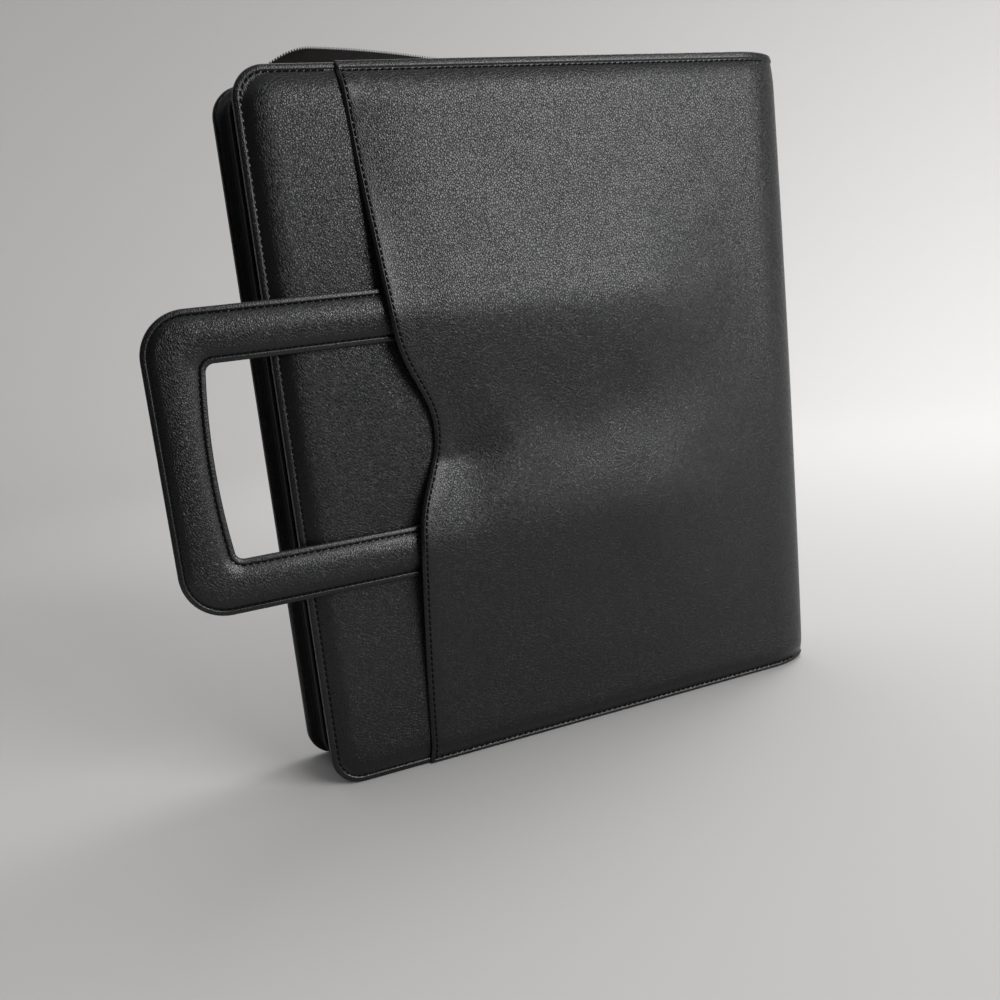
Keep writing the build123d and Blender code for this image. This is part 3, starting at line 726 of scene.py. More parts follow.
@dataclass
class Panel:
    """Lays out a panel's lines: its edge lines run round it, inner lines cross it.

    Each point of the grid gets its distance from the fore edge and from the tail edge,
    its distance in from the nearest edge, and its height. Round fore corners turn the
    edge lines into arcs.
    """

    profile: EdgeProfile
    across: np.ndarray  # inner lines, as distances from the fore edge
    along: np.ndarray  # inner lines, as distances from the tail edge
    length: float
    corner: float = 0.0
    width: float = 0.0  # of a panel with an edge on all four sides; 0 where it runs on

    def __post_init__(self) -> None:
        """Works out the place of each point of the grid."""
        count = len(self.profile.lines)
        rows = count * (2 if self.width else 1) + len(self.across)
        columns = 2 * count + len(self.along)
        self.fore = np.zeros((rows, columns))
        self.rise = np.zeros((rows, columns))
        self.inset = np.zeros((rows, columns))
        self.lift = np.zeros((rows, columns))
        self.upper = np.zeros((rows, columns))
        for row in range(rows):
            for column in range(columns):
                self._set_point(row, column, count)

    def _set_point(self, row: int, column: int, count: int) -> None:
        """Places one point of the grid.

        Args:
            row: Row of the point, counted from the fore edge.
            column: Column of the point, counted from the tail edge.
            count: Number of edge lines.
        """
        rows, columns = self.fore.shape
        at_spine = bool(self.width) and row >= rows - count
        at_head = column >= columns - count
        ring_row = min(rows - 1 - row if at_spine else row, count)
        ring_column = min(columns - 1 - column if at_head else column, count)
        ring = min(ring_row, ring_column)
        inset, lift = self.profile.lines[min(ring, count - 1)]
        if ring_row < count and ring_column < count:
            fore, rise = self._corner(ring_row, ring_column, inset, at_spine)
        else:
            fore = inset if ring_row < count else self.across[row - count]
            rise = inset if ring_column < count else self.along[column - count]
        if ring == count:
            reach = [fore, rise, self.length - rise]
            inset = min(reach + ([self.width - fore] if self.width else []))
        self.fore[row, column] = self.width - fore if at_spine else fore
        self.rise[row, column] = self.length - rise if at_head else rise
        self.inset[row, column] = inset
        self.lift[row, column] = lift
        self.upper[row, column] = ring >= self.profile.first_upper

    def _corner(self, row: int, column: int, inset: float, at_spine: bool) -> tuple:
        """Places a point where the edge lines of two sides meet.

        Args:
            row: Its line from the nearer of the fore and spine edges.
            column: Its line from the nearer of the tail and head edges.
            inset: Inset of the outer of those two lines.
            at_spine: Whether the corner is at the spine, where it is square.

        Returns:
            Distances from the two edges.
        """
        last = len(self.profile.lines) - 1
        if self.corner and not at_spine:
            near, far = 1 - row / last, 1 - column / last
            if near == far:
                angle = math.pi / 4
            elif near > far:
                angle = math.pi / 4 * far / near
            else:
                angle = math.pi / 2 - math.pi / 4 * near / far
            radius = self.corner - inset
            return self.corner - radius * math.cos(angle), self.corner - radius * math.sin(angle)
        reach = self.profile.lines[-1][0]
        ring = min(row, column)
        share = (max(row, column) - ring) / max(last - ring, 1)
        along = inset + (reach - inset) * share
        return (inset, along) if row <= column else (along, inset)

    def underside_lines(self) -> tuple:
        """Lays out a plain grid inside the first edge line.

        Returns:
            Distances from the fore edge and from the tail edge.
        """
        first, reach = self.profile.lines[0][0], self.profile.lines[-1][0]
        border = np.linspace(first, reach, len(self.profile.lines))
        fore = [border, self.across]
        if self.width:
            fore.append(self.width - border[::-1])
        rise = [border, self.along, self.length - border[::-1]]
        return np.meshgrid(np.concatenate(fore), np.concatenate(rise), indexing="ij")

    def ring(self, points: np.ndarray, line: int) -> np.ndarray:
        """Picks the points along one edge line.

        Args:
            points: Array over the panel's grid.
            line: Number of the edge line.

        Returns:
            The values from the tail edge's spine end, round the fore edge, to the head's.
        """
        last = points.shape[1] - 1 - line
        start = points.shape[0] - 1 - (line if self.width else 0)
        tail = points[start:line:-1, line]
        fore = points[line, line : last + 1]
        head = points[line + 1 : start + 1, last]
        return np.concatenate([tail, fore, head])

    def close_flat(self, draft: Draft, first: int) -> None:
        """Closes the hidden side of a panel that lies flat, and its spine end.

        Args:
            draft: Draft that holds the panel's grid.
            first: Number of the grid's first point.
        """
        rows, columns = self.fore.shape
        index = first + np.arange(rows * columns).reshape(rows, columns)
        if self.width:
            draft.faces.append(tuple(np.concatenate([
                index[:, 0], index[-1, 1:], index[-2::-1, -1], index[0, -2:0:-1]
            ]).tolist()))
            return
        for row in range(rows - 1):
            draft.faces.append((index[row, 0], index[row, -1], index[row + 1, -1], index[row + 1, 0]))
        draft.faces.append(tuple(index[0].tolist()))
        draft.faces.append(tuple(index[-1].tolist()))


def edge_grain(inset: np.ndarray, hem: float = 5.0, plain: float = 0.4) -> np.ndarray:
    """How strongly the grain shows, from 0 to 1: it is stretched smooth on a hem and its slope."""
    return plain + (1 - plain) * smooth((inset - hem) / GRAIN_SLOPE)


@dataclass(frozen=True)
class Seam:
    """A line of sewing: where it runs and which way is out of the surface."""

    points: np.ndarray
    normals: np.ndarray

    @classmethod
    def on_grid(cls, panel: Panel, points: np.ndarray, outward: Sequence[float]) -> "Seam":
        """Takes the groove of a panel as a seam, from its grid's places and the way out of it."""
        line = panel.profile.groove
        return cls(panel.ring(points, line), panel.ring(surface_normals(points, outward), line))

    def where(self, keep: np.ndarray) -> "Seam":
        """The part of the seam that a mask keeps."""
        return Seam(self.points[keep], self.normals[keep])


@dataclass(frozen=True)
class Needle:
    """How a row of stitches looks: its pitch and the size of one stitch."""

    pitch: float = 3.1
    length: float = 2.7
    width: float = 0.86
    height: float = 0.6
    slant: float = 9.0  # degrees off the line, as a lockstitch lies
    feel: float = 0.3  # the line's direction is taken this far on either side
    blunt: float = 0.6  # the lower, the blunter a stitch's ends
    stand: float = 0.25  # its middle stands this much out of the groove, in heights
    sides: int = 6
    rings: int = 4

    def sew(self, draft: Draft, seam: Seam) -> None:
        """Adds a row of stitches along a seam.

        Args:
            draft: Draft to add them to.
            seam: Line that they follow.
        """
        run = runs(seam.points)
        count = int(run[-1] / self.pitch)
        spots = (np.arange(count) + 0.5) * run[-1] / count
        middle = sample(spots, run, seam.points)
        normal = sample(spots, run, seam.normals)
        along = sample(spots + self.feel, run, seam.points) - sample(spots - self.feel, run, seam.points)
        along /= np.linalg.norm(along, axis=1, keepdims=True)
        side = np.cross(normal, along)
        side /= np.linalg.norm(side, axis=1, keepdims=True)
        normal = np.cross(along, side)
        near, off = math.cos(math.radians(self.slant)), math.sin(math.radians(self.slant))
        along, side = along * near + side * off, side * near - along * off
        bead, faces = self.bead()
        for spot in range(count):
            axes = np.stack([along[spot], side[spot], normal[spot]])
            draft.add(middle[spot] + bead @ axes, faces)

    def bead(self) -> tuple:
        """Shapes one stitch, lying along X.

        Returns:
            Its points and faces.
        """
        points = [(-self.length / 2, 0.0, 0.0)]
        for ring in range(self.rings):
            turn = math.pi * (ring + 1) / (self.rings + 1)
            reach, girth = -math.cos(turn) * self.length / 2, math.sin(turn) ** self.blunt
            for side in range(self.sides):
                angle = math.tau * side / self.sides
                points.append((
                    reach,
                    girth * self.width / 2 * math.cos(angle),
                    self.height * self.stand + girth * self.height * 0.5 * math.sin(angle),
                ))
        points.append((self.length / 2, 0.0, 0.0))
        faces = []
        tip = len(points) - 1
        for side in range(self.sides):
            after = (side + 1) % self.sides
            faces.append((0, 1 + after, 1 + side))
            for ring in range(self.rings - 1):
                near, far = 1 + ring * self.sides, 1 + (ring + 1) * self.sides
                faces.append((near + side, near + after, far + after, far + side))
            last = 1 + (self.rings - 1) * self.sides
            faces.append((last + side, last + after, tip))
        return np.array(points), faces


# The case


@dataclass(frozen=True)
class CaseFrame:
    """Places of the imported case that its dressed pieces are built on, in millimetres."""

    fore_x: float  # of the front cover
    back_fore_x: float
    end_x: float  # where the covers end and the folds begin
    spine_x: float
    front_y: float
    back_y: float
    height: float
    cover: float  # thickness of a cover at its hem
    turn_before: float = 16.0  # the leather starts to turn this far before the fold
    turn_depth: float = 1.6  # depth of the leather's turn, in radii of the fold
    turn_first: float = 1.0  # from the start of the turn to the first line in it
    spine_bow: float = 1.7  # the spine bellies out this much at mid height
    bow_power: float = 0.8
    spine_tuck: float = 1.6  # the leather's head and tail edges draw in this much at the spine
    tuck_reach: float = 0.2  # of half the height that draws in

    @classmethod
    def measure(cls) -> "CaseFrame":
        """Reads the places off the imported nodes.

        Returns:
            The case's places.
        """
        fold = Extent.of("front_fold")
        skin = Extent.of("front_cover_skin")
        lining = Extent.of("front_lining")
        return cls(
            fore_x=skin.x[0],
            back_fore_x=Extent.of("back_cover_skin").x[0],
            end_x=fold.x[0],
            spine_x=fold.x[1],
            front_y=fold.y[0],
            back_y=Extent.of("back_fold").y[1],
            height=fold.z[1],
            cover=lining.y[1] - fold.y[0],
        )

    @property
    def middle_z(self) -> float:
        """Half way up the case."""
        return self.height / 2

    def fore_edge(self, side: Side) -> float:
        """Fore edge of a half."""
        return self.fore_x if side is Side.FRONT else self.back_fore_x

    def flat_run(self, side: Side) -> float:
        """Length of a cover from the fore edge to its fold."""
        return self.end_x - self.fore_edge(side)

    @property
    def radius(self) -> float:
        """Outer radius of a fold."""
        return self.spine_x - self.end_x

    def turn_run(self, side: Side) -> float:
        """Length of a cover from the fore edge to where its leather starts to turn."""
        return self.flat_run(side) - self.turn_before

    @property
    def turn_length(self) -> float:
        """Length of the leather's turn, from the cover's top to the spine."""
        reach = math.hypot(self.turn_before + self.radius, self.turn_depth * self.radius)
        return math.pi / 2 * reach / math.sqrt(2)

    def turn_lines(self, side: Side, step: float) -> np.ndarray:
        """Lines across the leather's turn, as distances from the fore edge."""
        return self.turn_run(side) + steps(self.turn_first, self.turn_length, step)

    @property
    def spine_run(self) -> float:
        """Width of the spine's flat back between the two folds."""
        return self.back_y - self.front_y - 2 * self.radius

    def hem_y(self, side: Side) -> float:
        """Face of a half's hem."""
        return self.front_y if side is Side.FRONT else self.back_y

    def on_cover(self, side: Side, run: np.ndarray, z: np.ndarray, height: np.ndarray) -> np.ndarray:
        """Places points over a flat cover, by distances from its fore edge and from its hem's face."""
        return np.stack([self.fore_edge(side) + run, self.hem_y(side) + side.value * height, z], axis=-1)

    def fall(self, run: np.ndarray) -> np.ndarray:
        """How far the front cover sinks towards its fold, under the leather that turns there."""
        turned = (run - self.turn_run(Side.FRONT)) / (self.turn_before + self.radius)
        return self.radius * (1 - np.sqrt(1 - np.clip(turned, 0.0, 1.0) ** 2))

    def round_spine(
        self, side: Side, run: np.ndarray, z: np.ndarray, top: np.ndarray, depth: np.ndarray
    ) -> np.ndarray:
        """Places points of leather that runs over a cover, round its fold and on to the spine.

        Args:
            side: Half of the case.
            run: Distances from the fore edge, along the leather.
            z: Heights above the floor.
            top: Heights of the leather's outer face above the hem's face.
            depth: Distances out of that outer face.

        Returns:
            The points.
        """
        start = self.turn_run(side)
        share = np.clip((run - start) / self.turn_length, 0.0, 1.0)
        turn = share * math.pi / 2
        past = np.maximum(run - start - self.turn_length, 0.0)
        bow = self.spine_bow * np.sin(math.pi * np.clip(z / self.height, 0.0, 1.0)) ** self.bow_power
        reach = self.radius + self.turn_before + depth + bow
        x = self.fore_edge(side) + np.minimum(run, start) + reach * np.sin(turn)
        y = self.hem_y(side) - side.value * (self.radius - (self.radius + top + depth) * np.cos(turn) + past)
        away = np.abs(z / self.middle_z - 1)
        ends = smooth((away - (1 - self.tuck_reach)) / self.tuck_reach)
        z = z - np.sign(z - self.middle_z) * self.spine_tuck * smooth(share) * ends
        return np.stack([x, y, z], axis=-1)


@dataclass
class CoverPanel:
    """A padded cover: stiff board in leather, with a stitched hem and a soft top."""

    case: CaseFrame
    side: Side
    corner: float = 15.0
    pad_corner: float = 20.0  # corner of the padding's own outline
    hem: float = 3.5
    slope: float = 12.5
    head_slope: float = 15.0
    crown: float = 0.12  # extra height in the middle of the padding
    crown_start: float = 0.7  # where it starts, as a share of the slope
    crown_reach: float = 60.0
    softness: float = 0.07  # height of the ripples
    soft_reach: float = 25.0  # they grow to it over this much
    ripple: float = 55.0  # width of a ripple
    step: float = 4.5
    fold_step: float = 1.3
    border: float = 4.0  # between the edge lines and the first inner line
    end_gap: float = 1.0  # between the front cover's end and its fold
    end_lines: tuple = (16.0, 14.0, 1.2)  # before its end: last wide line, first close one, their spacing
    thin: float = 0.27  # share of the cover's thickness left in the fold
    stitch_stop: float = 2.0  # the back's stitches stop this far before the fold
    stitch_lap: float = 1.0  # the front's stop this far before the pocket
    fill: float = 0.8
    profile: EdgeProfile = EdgeProfile(
        lines=(
            (7.0, -3.7), (3.0, -3.85), (1.4, -3.9), (0.7, -3.78), (0.25, -3.42), (0.05, -2.95),
            (0.14, -2.5), (0.42, -2.22), (0.75, -2.05), (0.42, -1.86), (0.12, -1.5), (0.0, -1.0),
            (0.06, -0.6), (0.2, -0.3), (0.45, -0.08), (0.8, 0.08), (1.2, 0.19), (1.6, 0.27),
            (2.0, 0.325), (2.35, 0.35), (2.6, 0.32), (2.8, 0.17), (3.0, 0.05), (3.45, 0.0), (3.65, 0.02),
            (3.95, 0.03), (4.5, 0.03), (5.4, 0.0), (6.4, 0.0), (7.6, 0.0), (9.0, 0.0), (10.6, 0.0),
            (12.4, 0.0), (15.0, 0.0),
        ),
        first_upper=11,
        groove=23,
    )

    def rise(self) -> float:
        """Height of the padded top above the hem's face.

        Returns:
            The height.
        """
        skin = Extent.of(f"{self.side.label}_cover_skin")
        top = skin.y[0] if self.side is Side.FRONT else skin.y[1]
        return abs(top - self.case.hem_y(self.side))

    def swell(self, fore: np.ndarray, rise: np.ndarray, inset: np.ndarray) -> np.ndarray:
        """Height of the padding at each place.

        Args:
            fore: Distances from the fore edge.
            rise: Distances from the tail edge.
            inset: Distances in from the nearest edge.

        Returns:
            Heights above the hem's face.
        """
        if self.side is Side.FRONT:
            inset = np.minimum(inset, np.maximum(self.case.flat_run(self.side) - fore, 0.0))
        at_head = self.hem + (self.case.height - rise - self.hem) * self.slope / self.head_slope
        inset = np.where(inset > self.hem, np.minimum(inset, np.maximum(at_head, self.hem)), inset)
        short = np.maximum(self.pad_corner - fore, 0.0)
        low = np.maximum(self.pad_corner - np.minimum(rise, self.case.height - rise), 0.0)
        inset = np.where(short * low > 0, np.minimum(inset, self.pad_corner - np.hypot(short, low)), inset)
        soft = smooth((inset - self.hem - self.slope) / self.soft_reach)
        swell = self.rise() * puff((inset - self.hem) / self.slope)
        swell += self.crown * smooth((inset - self.hem - self.slope * self.crown_start) / self.crown_reach)
        return swell + self.softness * soft * ripples(fore, rise, self.ripple, RIPPLE_SEED + self.side.value)

    def build(self) -> bpy.types.Object:
        """Builds and dresses the cover.

        Returns:
            The cover's piece.
        """
        case, inner = self.case, self.corner + self.border
        along = steps(inner, case.height - inner, self.step)
        panel = Panel(self.profile, self.inner_lines(inner), along, case.height, self.corner)
        height = panel.lift + panel.upper * self.swell(panel.fore, panel.rise, panel.inset)
        points = self.place(panel, height)
        draft = Draft()
        panel.close_flat(draft, draft.grid(points, grain=edge_grain(panel.inset)))
        label = self.side.label
        piece = draft.make(f"{label}_cover_leather", OUTER_LEATHER)
        nodes = [f"{label}_cover_{layer}" for layer in ("skin", "padding", "board")]
        if self.side is Side.FRONT:
            ride(piece, Body.FRONT, *nodes)
        else:
            bend_to_spine(piece, case, self.side, *nodes, "back_fold")
        self.sew(panel, points)
        return piece

    def inner_lines(self, first: float) -> np.ndarray:
        """Lays out the lines that cross the cover.

        Args:
            first: Distance of the first one from the fore edge.

        Returns:
            Distances from the fore edge; the back's run on round its fold.
        """
        if self.side is Side.FRONT:
            end = self.case.flat_run(self.side) - self.end_gap
            upto, start, close = self.end_lines
            return np.concatenate([steps(first, end - upto, self.step), steps(end - start, end, close)])
        flat = steps(first, self.case.turn_run(self.side), self.step)
        return np.concatenate([flat, self.case.turn_lines(self.side, self.fold_step)])

    def place(self, panel: Panel, height: np.ndarray) -> np.ndarray:
        """Places the cover's points.

        Args:
            panel: The cover's lines.
            height: Heights above the hem's face.

        Returns:
            The points.
        """
        case, fore = self.case, panel.fore
        if self.side is Side.FRONT:
            return case.on_cover(self.side, fore, panel.rise, height - panel.upper * case.fall(fore))
        turned = smooth((fore - case.turn_run(self.side)) / case.turn_length)
        depth = np.minimum(height, 0.0) * (1 - (1 - self.thin) * turned)
        return case.round_spine(self.side, fore, panel.rise, np.maximum(height, 0.0), depth)

    def sew(self, panel: Panel, points: np.ndarray) -> None:
        """Sews the hem, as far as it shows.

        Args:
            panel: The cover's lines.
            points: Their places.
        """
        seam = Seam.on_grid(panel, points, (0, self.side.value, 0))
        limit = self.case.end_x - self.stitch_stop
        if self.side is Side.FRONT:
            limit = Extent.of("front_pocket").x[0] - self.stitch_lap
        draft = Draft()
        Needle().sew(draft, seam.where(seam.points[:, 0] < limit))
        ride(draft.make(f"{self.side.label}_cover_stitches", THREAD), self.side.body)


def bend_to_spine(piece: bpy.types.Object, case: CaseFrame, side: Side, *nodes: str) -> None:
    """Bakes the leather's placement into its points and hides the nodes that it stands for.

    Args:
        piece: The leather.
        case: The case's places; not used.
        side: Half of the case.
        *nodes: Nodes that the leather stands for.
    """
    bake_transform(piece)
    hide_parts(*nodes)
    LOG.info("%s bends from %s to the spine", piece.name, side.body.value)


@dataclass
class FrontPocket:
    """The sheet over the front: sewn on three sides, it runs on round the fold as the spine's leather."""

    case: CaseFrame
    thickness: float = 1.1
    mouth_at_notch: float = 70.0  # the mouth's distance from the fore edge
    mouth_at_tail: float = 49.0
    mouth_at_head: float = 46.0
    mouth_lean: float = 0.058  # how much further in the mouth lies per millimetre towards mid height
    mouth_round: float = 10.0
    notch_reach: float = 29.5
    notch_power: float = 2.3
    hem: float = 3.6
    slope: float = 9.0
    head_slope: float = 15.0
    seat: float = 0.42  # the sheet lies on the cover's hem lip
    shoulder: float = 4.0  # the sheet's underside where it leaves the padded slope
    crest: float = 7.6  # extra height over the handle's arms and their straps
    crest_power: float = 1.7  # how hollow the sheet is from its hems up to the crest
    bar_valley: float = 4.0  # between the arms, over the stop bar
    bar_tail: float = 60.0  # the swell over the bar runs out this far past it
    bar_slope: float = 28.0  # length of the rise from the notch to the bar
    bar_lead: float = 4.0  # that rise starts this far before the notch
    notch_valley: float = 0.1  # between the arms, behind the notch
    soften: float = 0.35  # how softly the sheet bends over an arm
    crease: float = -0.25  # height of the crease there, as a share of the way to an arm
    crease_width: float = 0.6  # as a share of that way
    crease_length: float = 16.0
    crease_power: float = 1.5  # how full the sheet is below the crease
    crease_ease: float = 0.4  # how much it levels out above the crease
    proud: float = 0.3  # past the cover's head edge
    droop: float = 1.6  # the mouth's edge bends down by this much towards the head
    droop_reach: float = 32.0
    droop_from: tuple = (0.74, 0.14)  # where it starts and how soon it is full, as shares of the height
    droop_end: tuple = (8.0, 20.0)  # below the head, where it ends and how soon it is full
    hem_lines: float = 3.0  # width of the edge lines that make the hem
    head_hem: float = 1.65  # how much wider the head's hem is than the mouth's
    softness: float = 0.16  # height of the ripples
    ripple: float = 42.0  # width of a ripple
    pattern: int = 5  # of the ripples, counted from their seed
    calm_mouth: tuple = (6.0, 30.0)  # in from the mouth, where the ripples start and how soon they are full
    calm_hem: tuple = (10.0, 25.0)  # the same from the head and the tail
    smooth_hem: float = 3.0  # width of the hem without grain
    step: float = 3.2
    fold_step: float = 1.1
    spine_lines: tuple = (1.2, 0.15, 2.5)  # on the spine: first and last from its two ends, their spacing
    border: float = 3.0  # between the edge lines and the first inner line
    stitch_stop: float = 2.0  # the stitches stop this far before the fold
    profile: EdgeProfile = EdgeProfile(
        lines=(
            (6.0, 0.0), (3.0, -0.03), (1.3, -0.05), (0.6, -0.02), (0.18, 0.16), (0.0, 0.5),
            (0.04, 0.7), (0.14, 0.86), (0.32, 1.0), (0.6, 1.15), (0.95, 1.31), (1.3, 1.46), (1.57, 1.54),
            (1.76, 1.53), (1.98, 1.3), (2.2, 1.08), (2.6, 1.04), (2.8, 1.06), (3.2, 1.09), (4.2, 1.1),
            (6.0, 1.1), (8.0, 1.1),
        ),
        first_upper=5,
        groove=16,
    )

    def mouth(self, z: np.ndarray) -> np.ndarray:
        """Distance of the mouth from the fore edge at each height.

        Args:
            z: Heights above the floor.

        Returns:
            Distances from the fore edge.
        """
        away = z - self.case.middle_z
        ends = np.hypot(self.case.middle_z, self.mouth_round)
        straight = self.mouth_at_tail + (self.mouth_at_head - self.mouth_at_tail) * z / self.case.height
        line = straight + self.mouth_lean * (ends - np.hypot(away, self.mouth_round))
        middle = (self.mouth_at_tail + self.mouth_at_head) / 2 + self.mouth_lean * (ends - self.mouth_round)
        bell = np.exp(-((np.abs(away) / self.notch_reach) ** self.notch_power))
        return line + (self.mouth_at_notch - middle) * bell

    def base(self, run: np.ndarray, z: np.ndarray) -> np.ndarray:
        """Height of the sheet's underside above the hem's face.

        Args:
            run: Distances from the fore edge, along the skin.
            z: Heights above the floor.

        Returns:
            The heights.
        """
        case = self.case
        arm = Extent.of("handle_rivets").z
        arm_reach = (arm[1] - arm[0]) / 2 - RIVET_RADIUS
        bar_end = Extent.of("handle_stop_bar").x[1] - case.fore_x + self.bar_tail
        at_head = self.hem + (case.height - z - self.hem) * self.slope / self.head_slope
        inset = np.clip(np.minimum(z, at_head), 0.0, None)
        flat_run = case.flat_run(Side.FRONT)
        to_fold = flat_run - run
        slope_end = self.hem + self.slope
        base = self.seat + (self.shoulder - self.seat) * puff((inset - self.hem) / self.slope)
        away = np.abs(z - case.middle_z)
        outer = (case.middle_z - slope_end - away) / (case.middle_z - slope_end - arm_reach)
        tent = self.crest * np.clip(outer, 0.0, None) ** self.crest_power
        up = (z - case.middle_z) / arm_reach
        crease = self.crease_length * np.exp(-(((up - self.crease) / self.crease_width) ** 2))
        behind = smooth((run - self.mouth_at_notch + self.bar_lead - crease) / self.bar_slope)
        bar = self.bar_valley + (self.crest - self.bar_valley) * smooth(away / arm_reach)
        notch = self.behind_notch(up)
        between = notch + (bar - notch) * behind
        height = -self.soften * np.logaddexp(-tent / self.soften, -between / self.soften)
        fall = (to_fold - slope_end) / (flat_run - slope_end - bar_end)
        return base + height * smooth(fall)

    def behind_notch(self, up: np.ndarray) -> np.ndarray:
        """Height of the sheet between the arms, where it sags to a crease behind the notch.

        Args:
            up: Heights from mid height, as shares of the way to an arm.

        Returns:
            Heights above the shoulder.
        """
        above = np.clip((up - self.crease) / (1 - self.crease), 0.0, None)
        below = np.clip((self.crease - up) / (1 + self.crease), 0.0, None)
        gentle = (1 - self.crease_ease) * above + self.crease_ease * smooth(above)
        steep = 1 - np.clip(1 - below, 0.0, None) ** self.crease_power
        share = np.where(up > self.crease, gentle, steep)
        return self.notch_valley + (self.crest - self.notch_valley) * share

    def build(self) -> bpy.types.Object:
        """Builds and dresses the sheet and the spine's leather.

        Returns:
            The piece.
        """
        case = self.case
        reach = self.profile.lines[-1][0]
        start = case.turn_run(Side.FRONT)
        flat = steps(0.0, 1.0, self.step / (start - self.mouth_at_notch - reach))[1:]
        bend = case.turn_lines(Side.FRONT, self.fold_step)
        first, short, apart = self.spine_lines
        back = start + case.turn_length + steps(first, case.spine_run - short, apart)
        across = np.concatenate([reach + flat * (start - reach), bend, back])
        height = case.height + self.proud
        along = steps(reach + self.border, height - reach - self.border, self.step)
        panel = Panel(self.profile, across, along, height)
        draft = Draft()
        points = self.place(panel.fore, panel.rise, panel.lift, reach)
        draft.grid(points, grain=edge_grain(panel.inset, self.smooth_hem))
        fore, rise = panel.underside_lines()
        under = self.place(fore, rise, np.full_like(fore, self.profile.lines[0][1]), reach)
        draft.grid(under)
        draft.grid(np.stack([points[-1], under[-1]]))
        piece = draft.make("front_pocket_leather", OUTER_LEATHER)
        bend_to_spine(piece, case, Side.FRONT, "front_pocket", "front_fold", "spine_skin")
        self.sew(panel, points)
        return piece

    def place(self, fore: np.ndarray, z: np.ndarray, lift: np.ndarray, reach: float) -> np.ndarray:
        """Places points of the sheet.

        Args:
            fore: Distances from the mouth, which are distances from the fore edge by the fold.
            z: Heights above the floor.
            lift: Heights above the sheet's underside.
            reach: Width of the mouth's edge.

        Returns:
            The points.
        """
        case, start = self.case, self.case.turn_run(Side.FRONT)
        from_head = case.height + self.proud - z
        hem = self.hem_lines
        widened = np.interp(from_head, (0.0, hem, reach), (0.0, hem * self.head_hem, reach))
        z = np.where(from_head < reach, case.height + self.proud - widened, z)
        mouth = self.mouth(z)
        lean = np.hypot(1.0, (self.mouth(z + 0.5) - self.mouth(z - 0.5)))
        near = mouth + fore * lean
        share = (fore - reach) / (start - reach)
        inner = mouth + reach * lean + share * (start - mouth - reach * lean)
        run = np.where(fore <= reach, near, np.where(fore < start, inner, fore))
        top = self.base(run, z) + self.wavy(run, z, mouth) - self.drooping(run, z, mouth) + self.thickness
        return case.round_spine(Side.FRONT, run, z, top, lift - self.thickness)

    def wavy(self, run: np.ndarray, z: np.ndarray, mouth: np.ndarray) -> np.ndarray:
        """Height of the sheet's ripples, which fade towards its edges.

        Args:
            run: Distances from the fore edge, along the skin.
            z: Heights above the floor.
            mouth: Distances of the mouth from the fore edge.

        Returns:
            Heights, up and down.
        """
        case, (edge, reach), (hem, full) = self.case, self.calm_mouth, self.calm_hem
        fade = smooth((run - mouth - edge) / reach) * smooth((case.turn_run(Side.FRONT) - run) / reach)
        fade = fade * smooth((np.minimum(z, case.height - z) - hem) / full)
        return self.softness * fade * ripples(run, z, self.ripple, RIPPLE_SEED + self.pattern)

    def drooping(self, run: np.ndarray, z: np.ndarray, mouth: np.ndarray) -> np.ndarray:
        """How far the sheet bends down at its mouth, towards the head.

        Args:
            run: Distances from the fore edge, along the skin.
            z: Heights above the floor.
            mouth: Distances of the mouth from the fore edge.

        Returns:
            Distances down.
        """
        height, (start, soon), (end, full) = self.case.height, self.droop_from, self.droop_end
        upper = smooth((z / height - start) / soon) * smooth((height - z - end) / full)
        return self.droop * upper * np.clip(1 - (run - mouth) / self.droop_reach, 0.0, 1.0) ** 2

    def sew(self, panel: Panel, points: np.ndarray) -> None:
        """Sews the mouth and the two hems.

        Args:
            panel: The sheet's lines.
            points: Their places.
        """
        seam = Seam.on_grid(panel, points, (0, -1, 0))
        on_cover = seam.points[:, 0] < self.case.end_x - self.stitch_stop
        draft = Draft()
        Needle().sew(draft, seam.where(on_cover))
        ride(draft.make("front_pocket_stitches", THREAD), Body.FRONT)


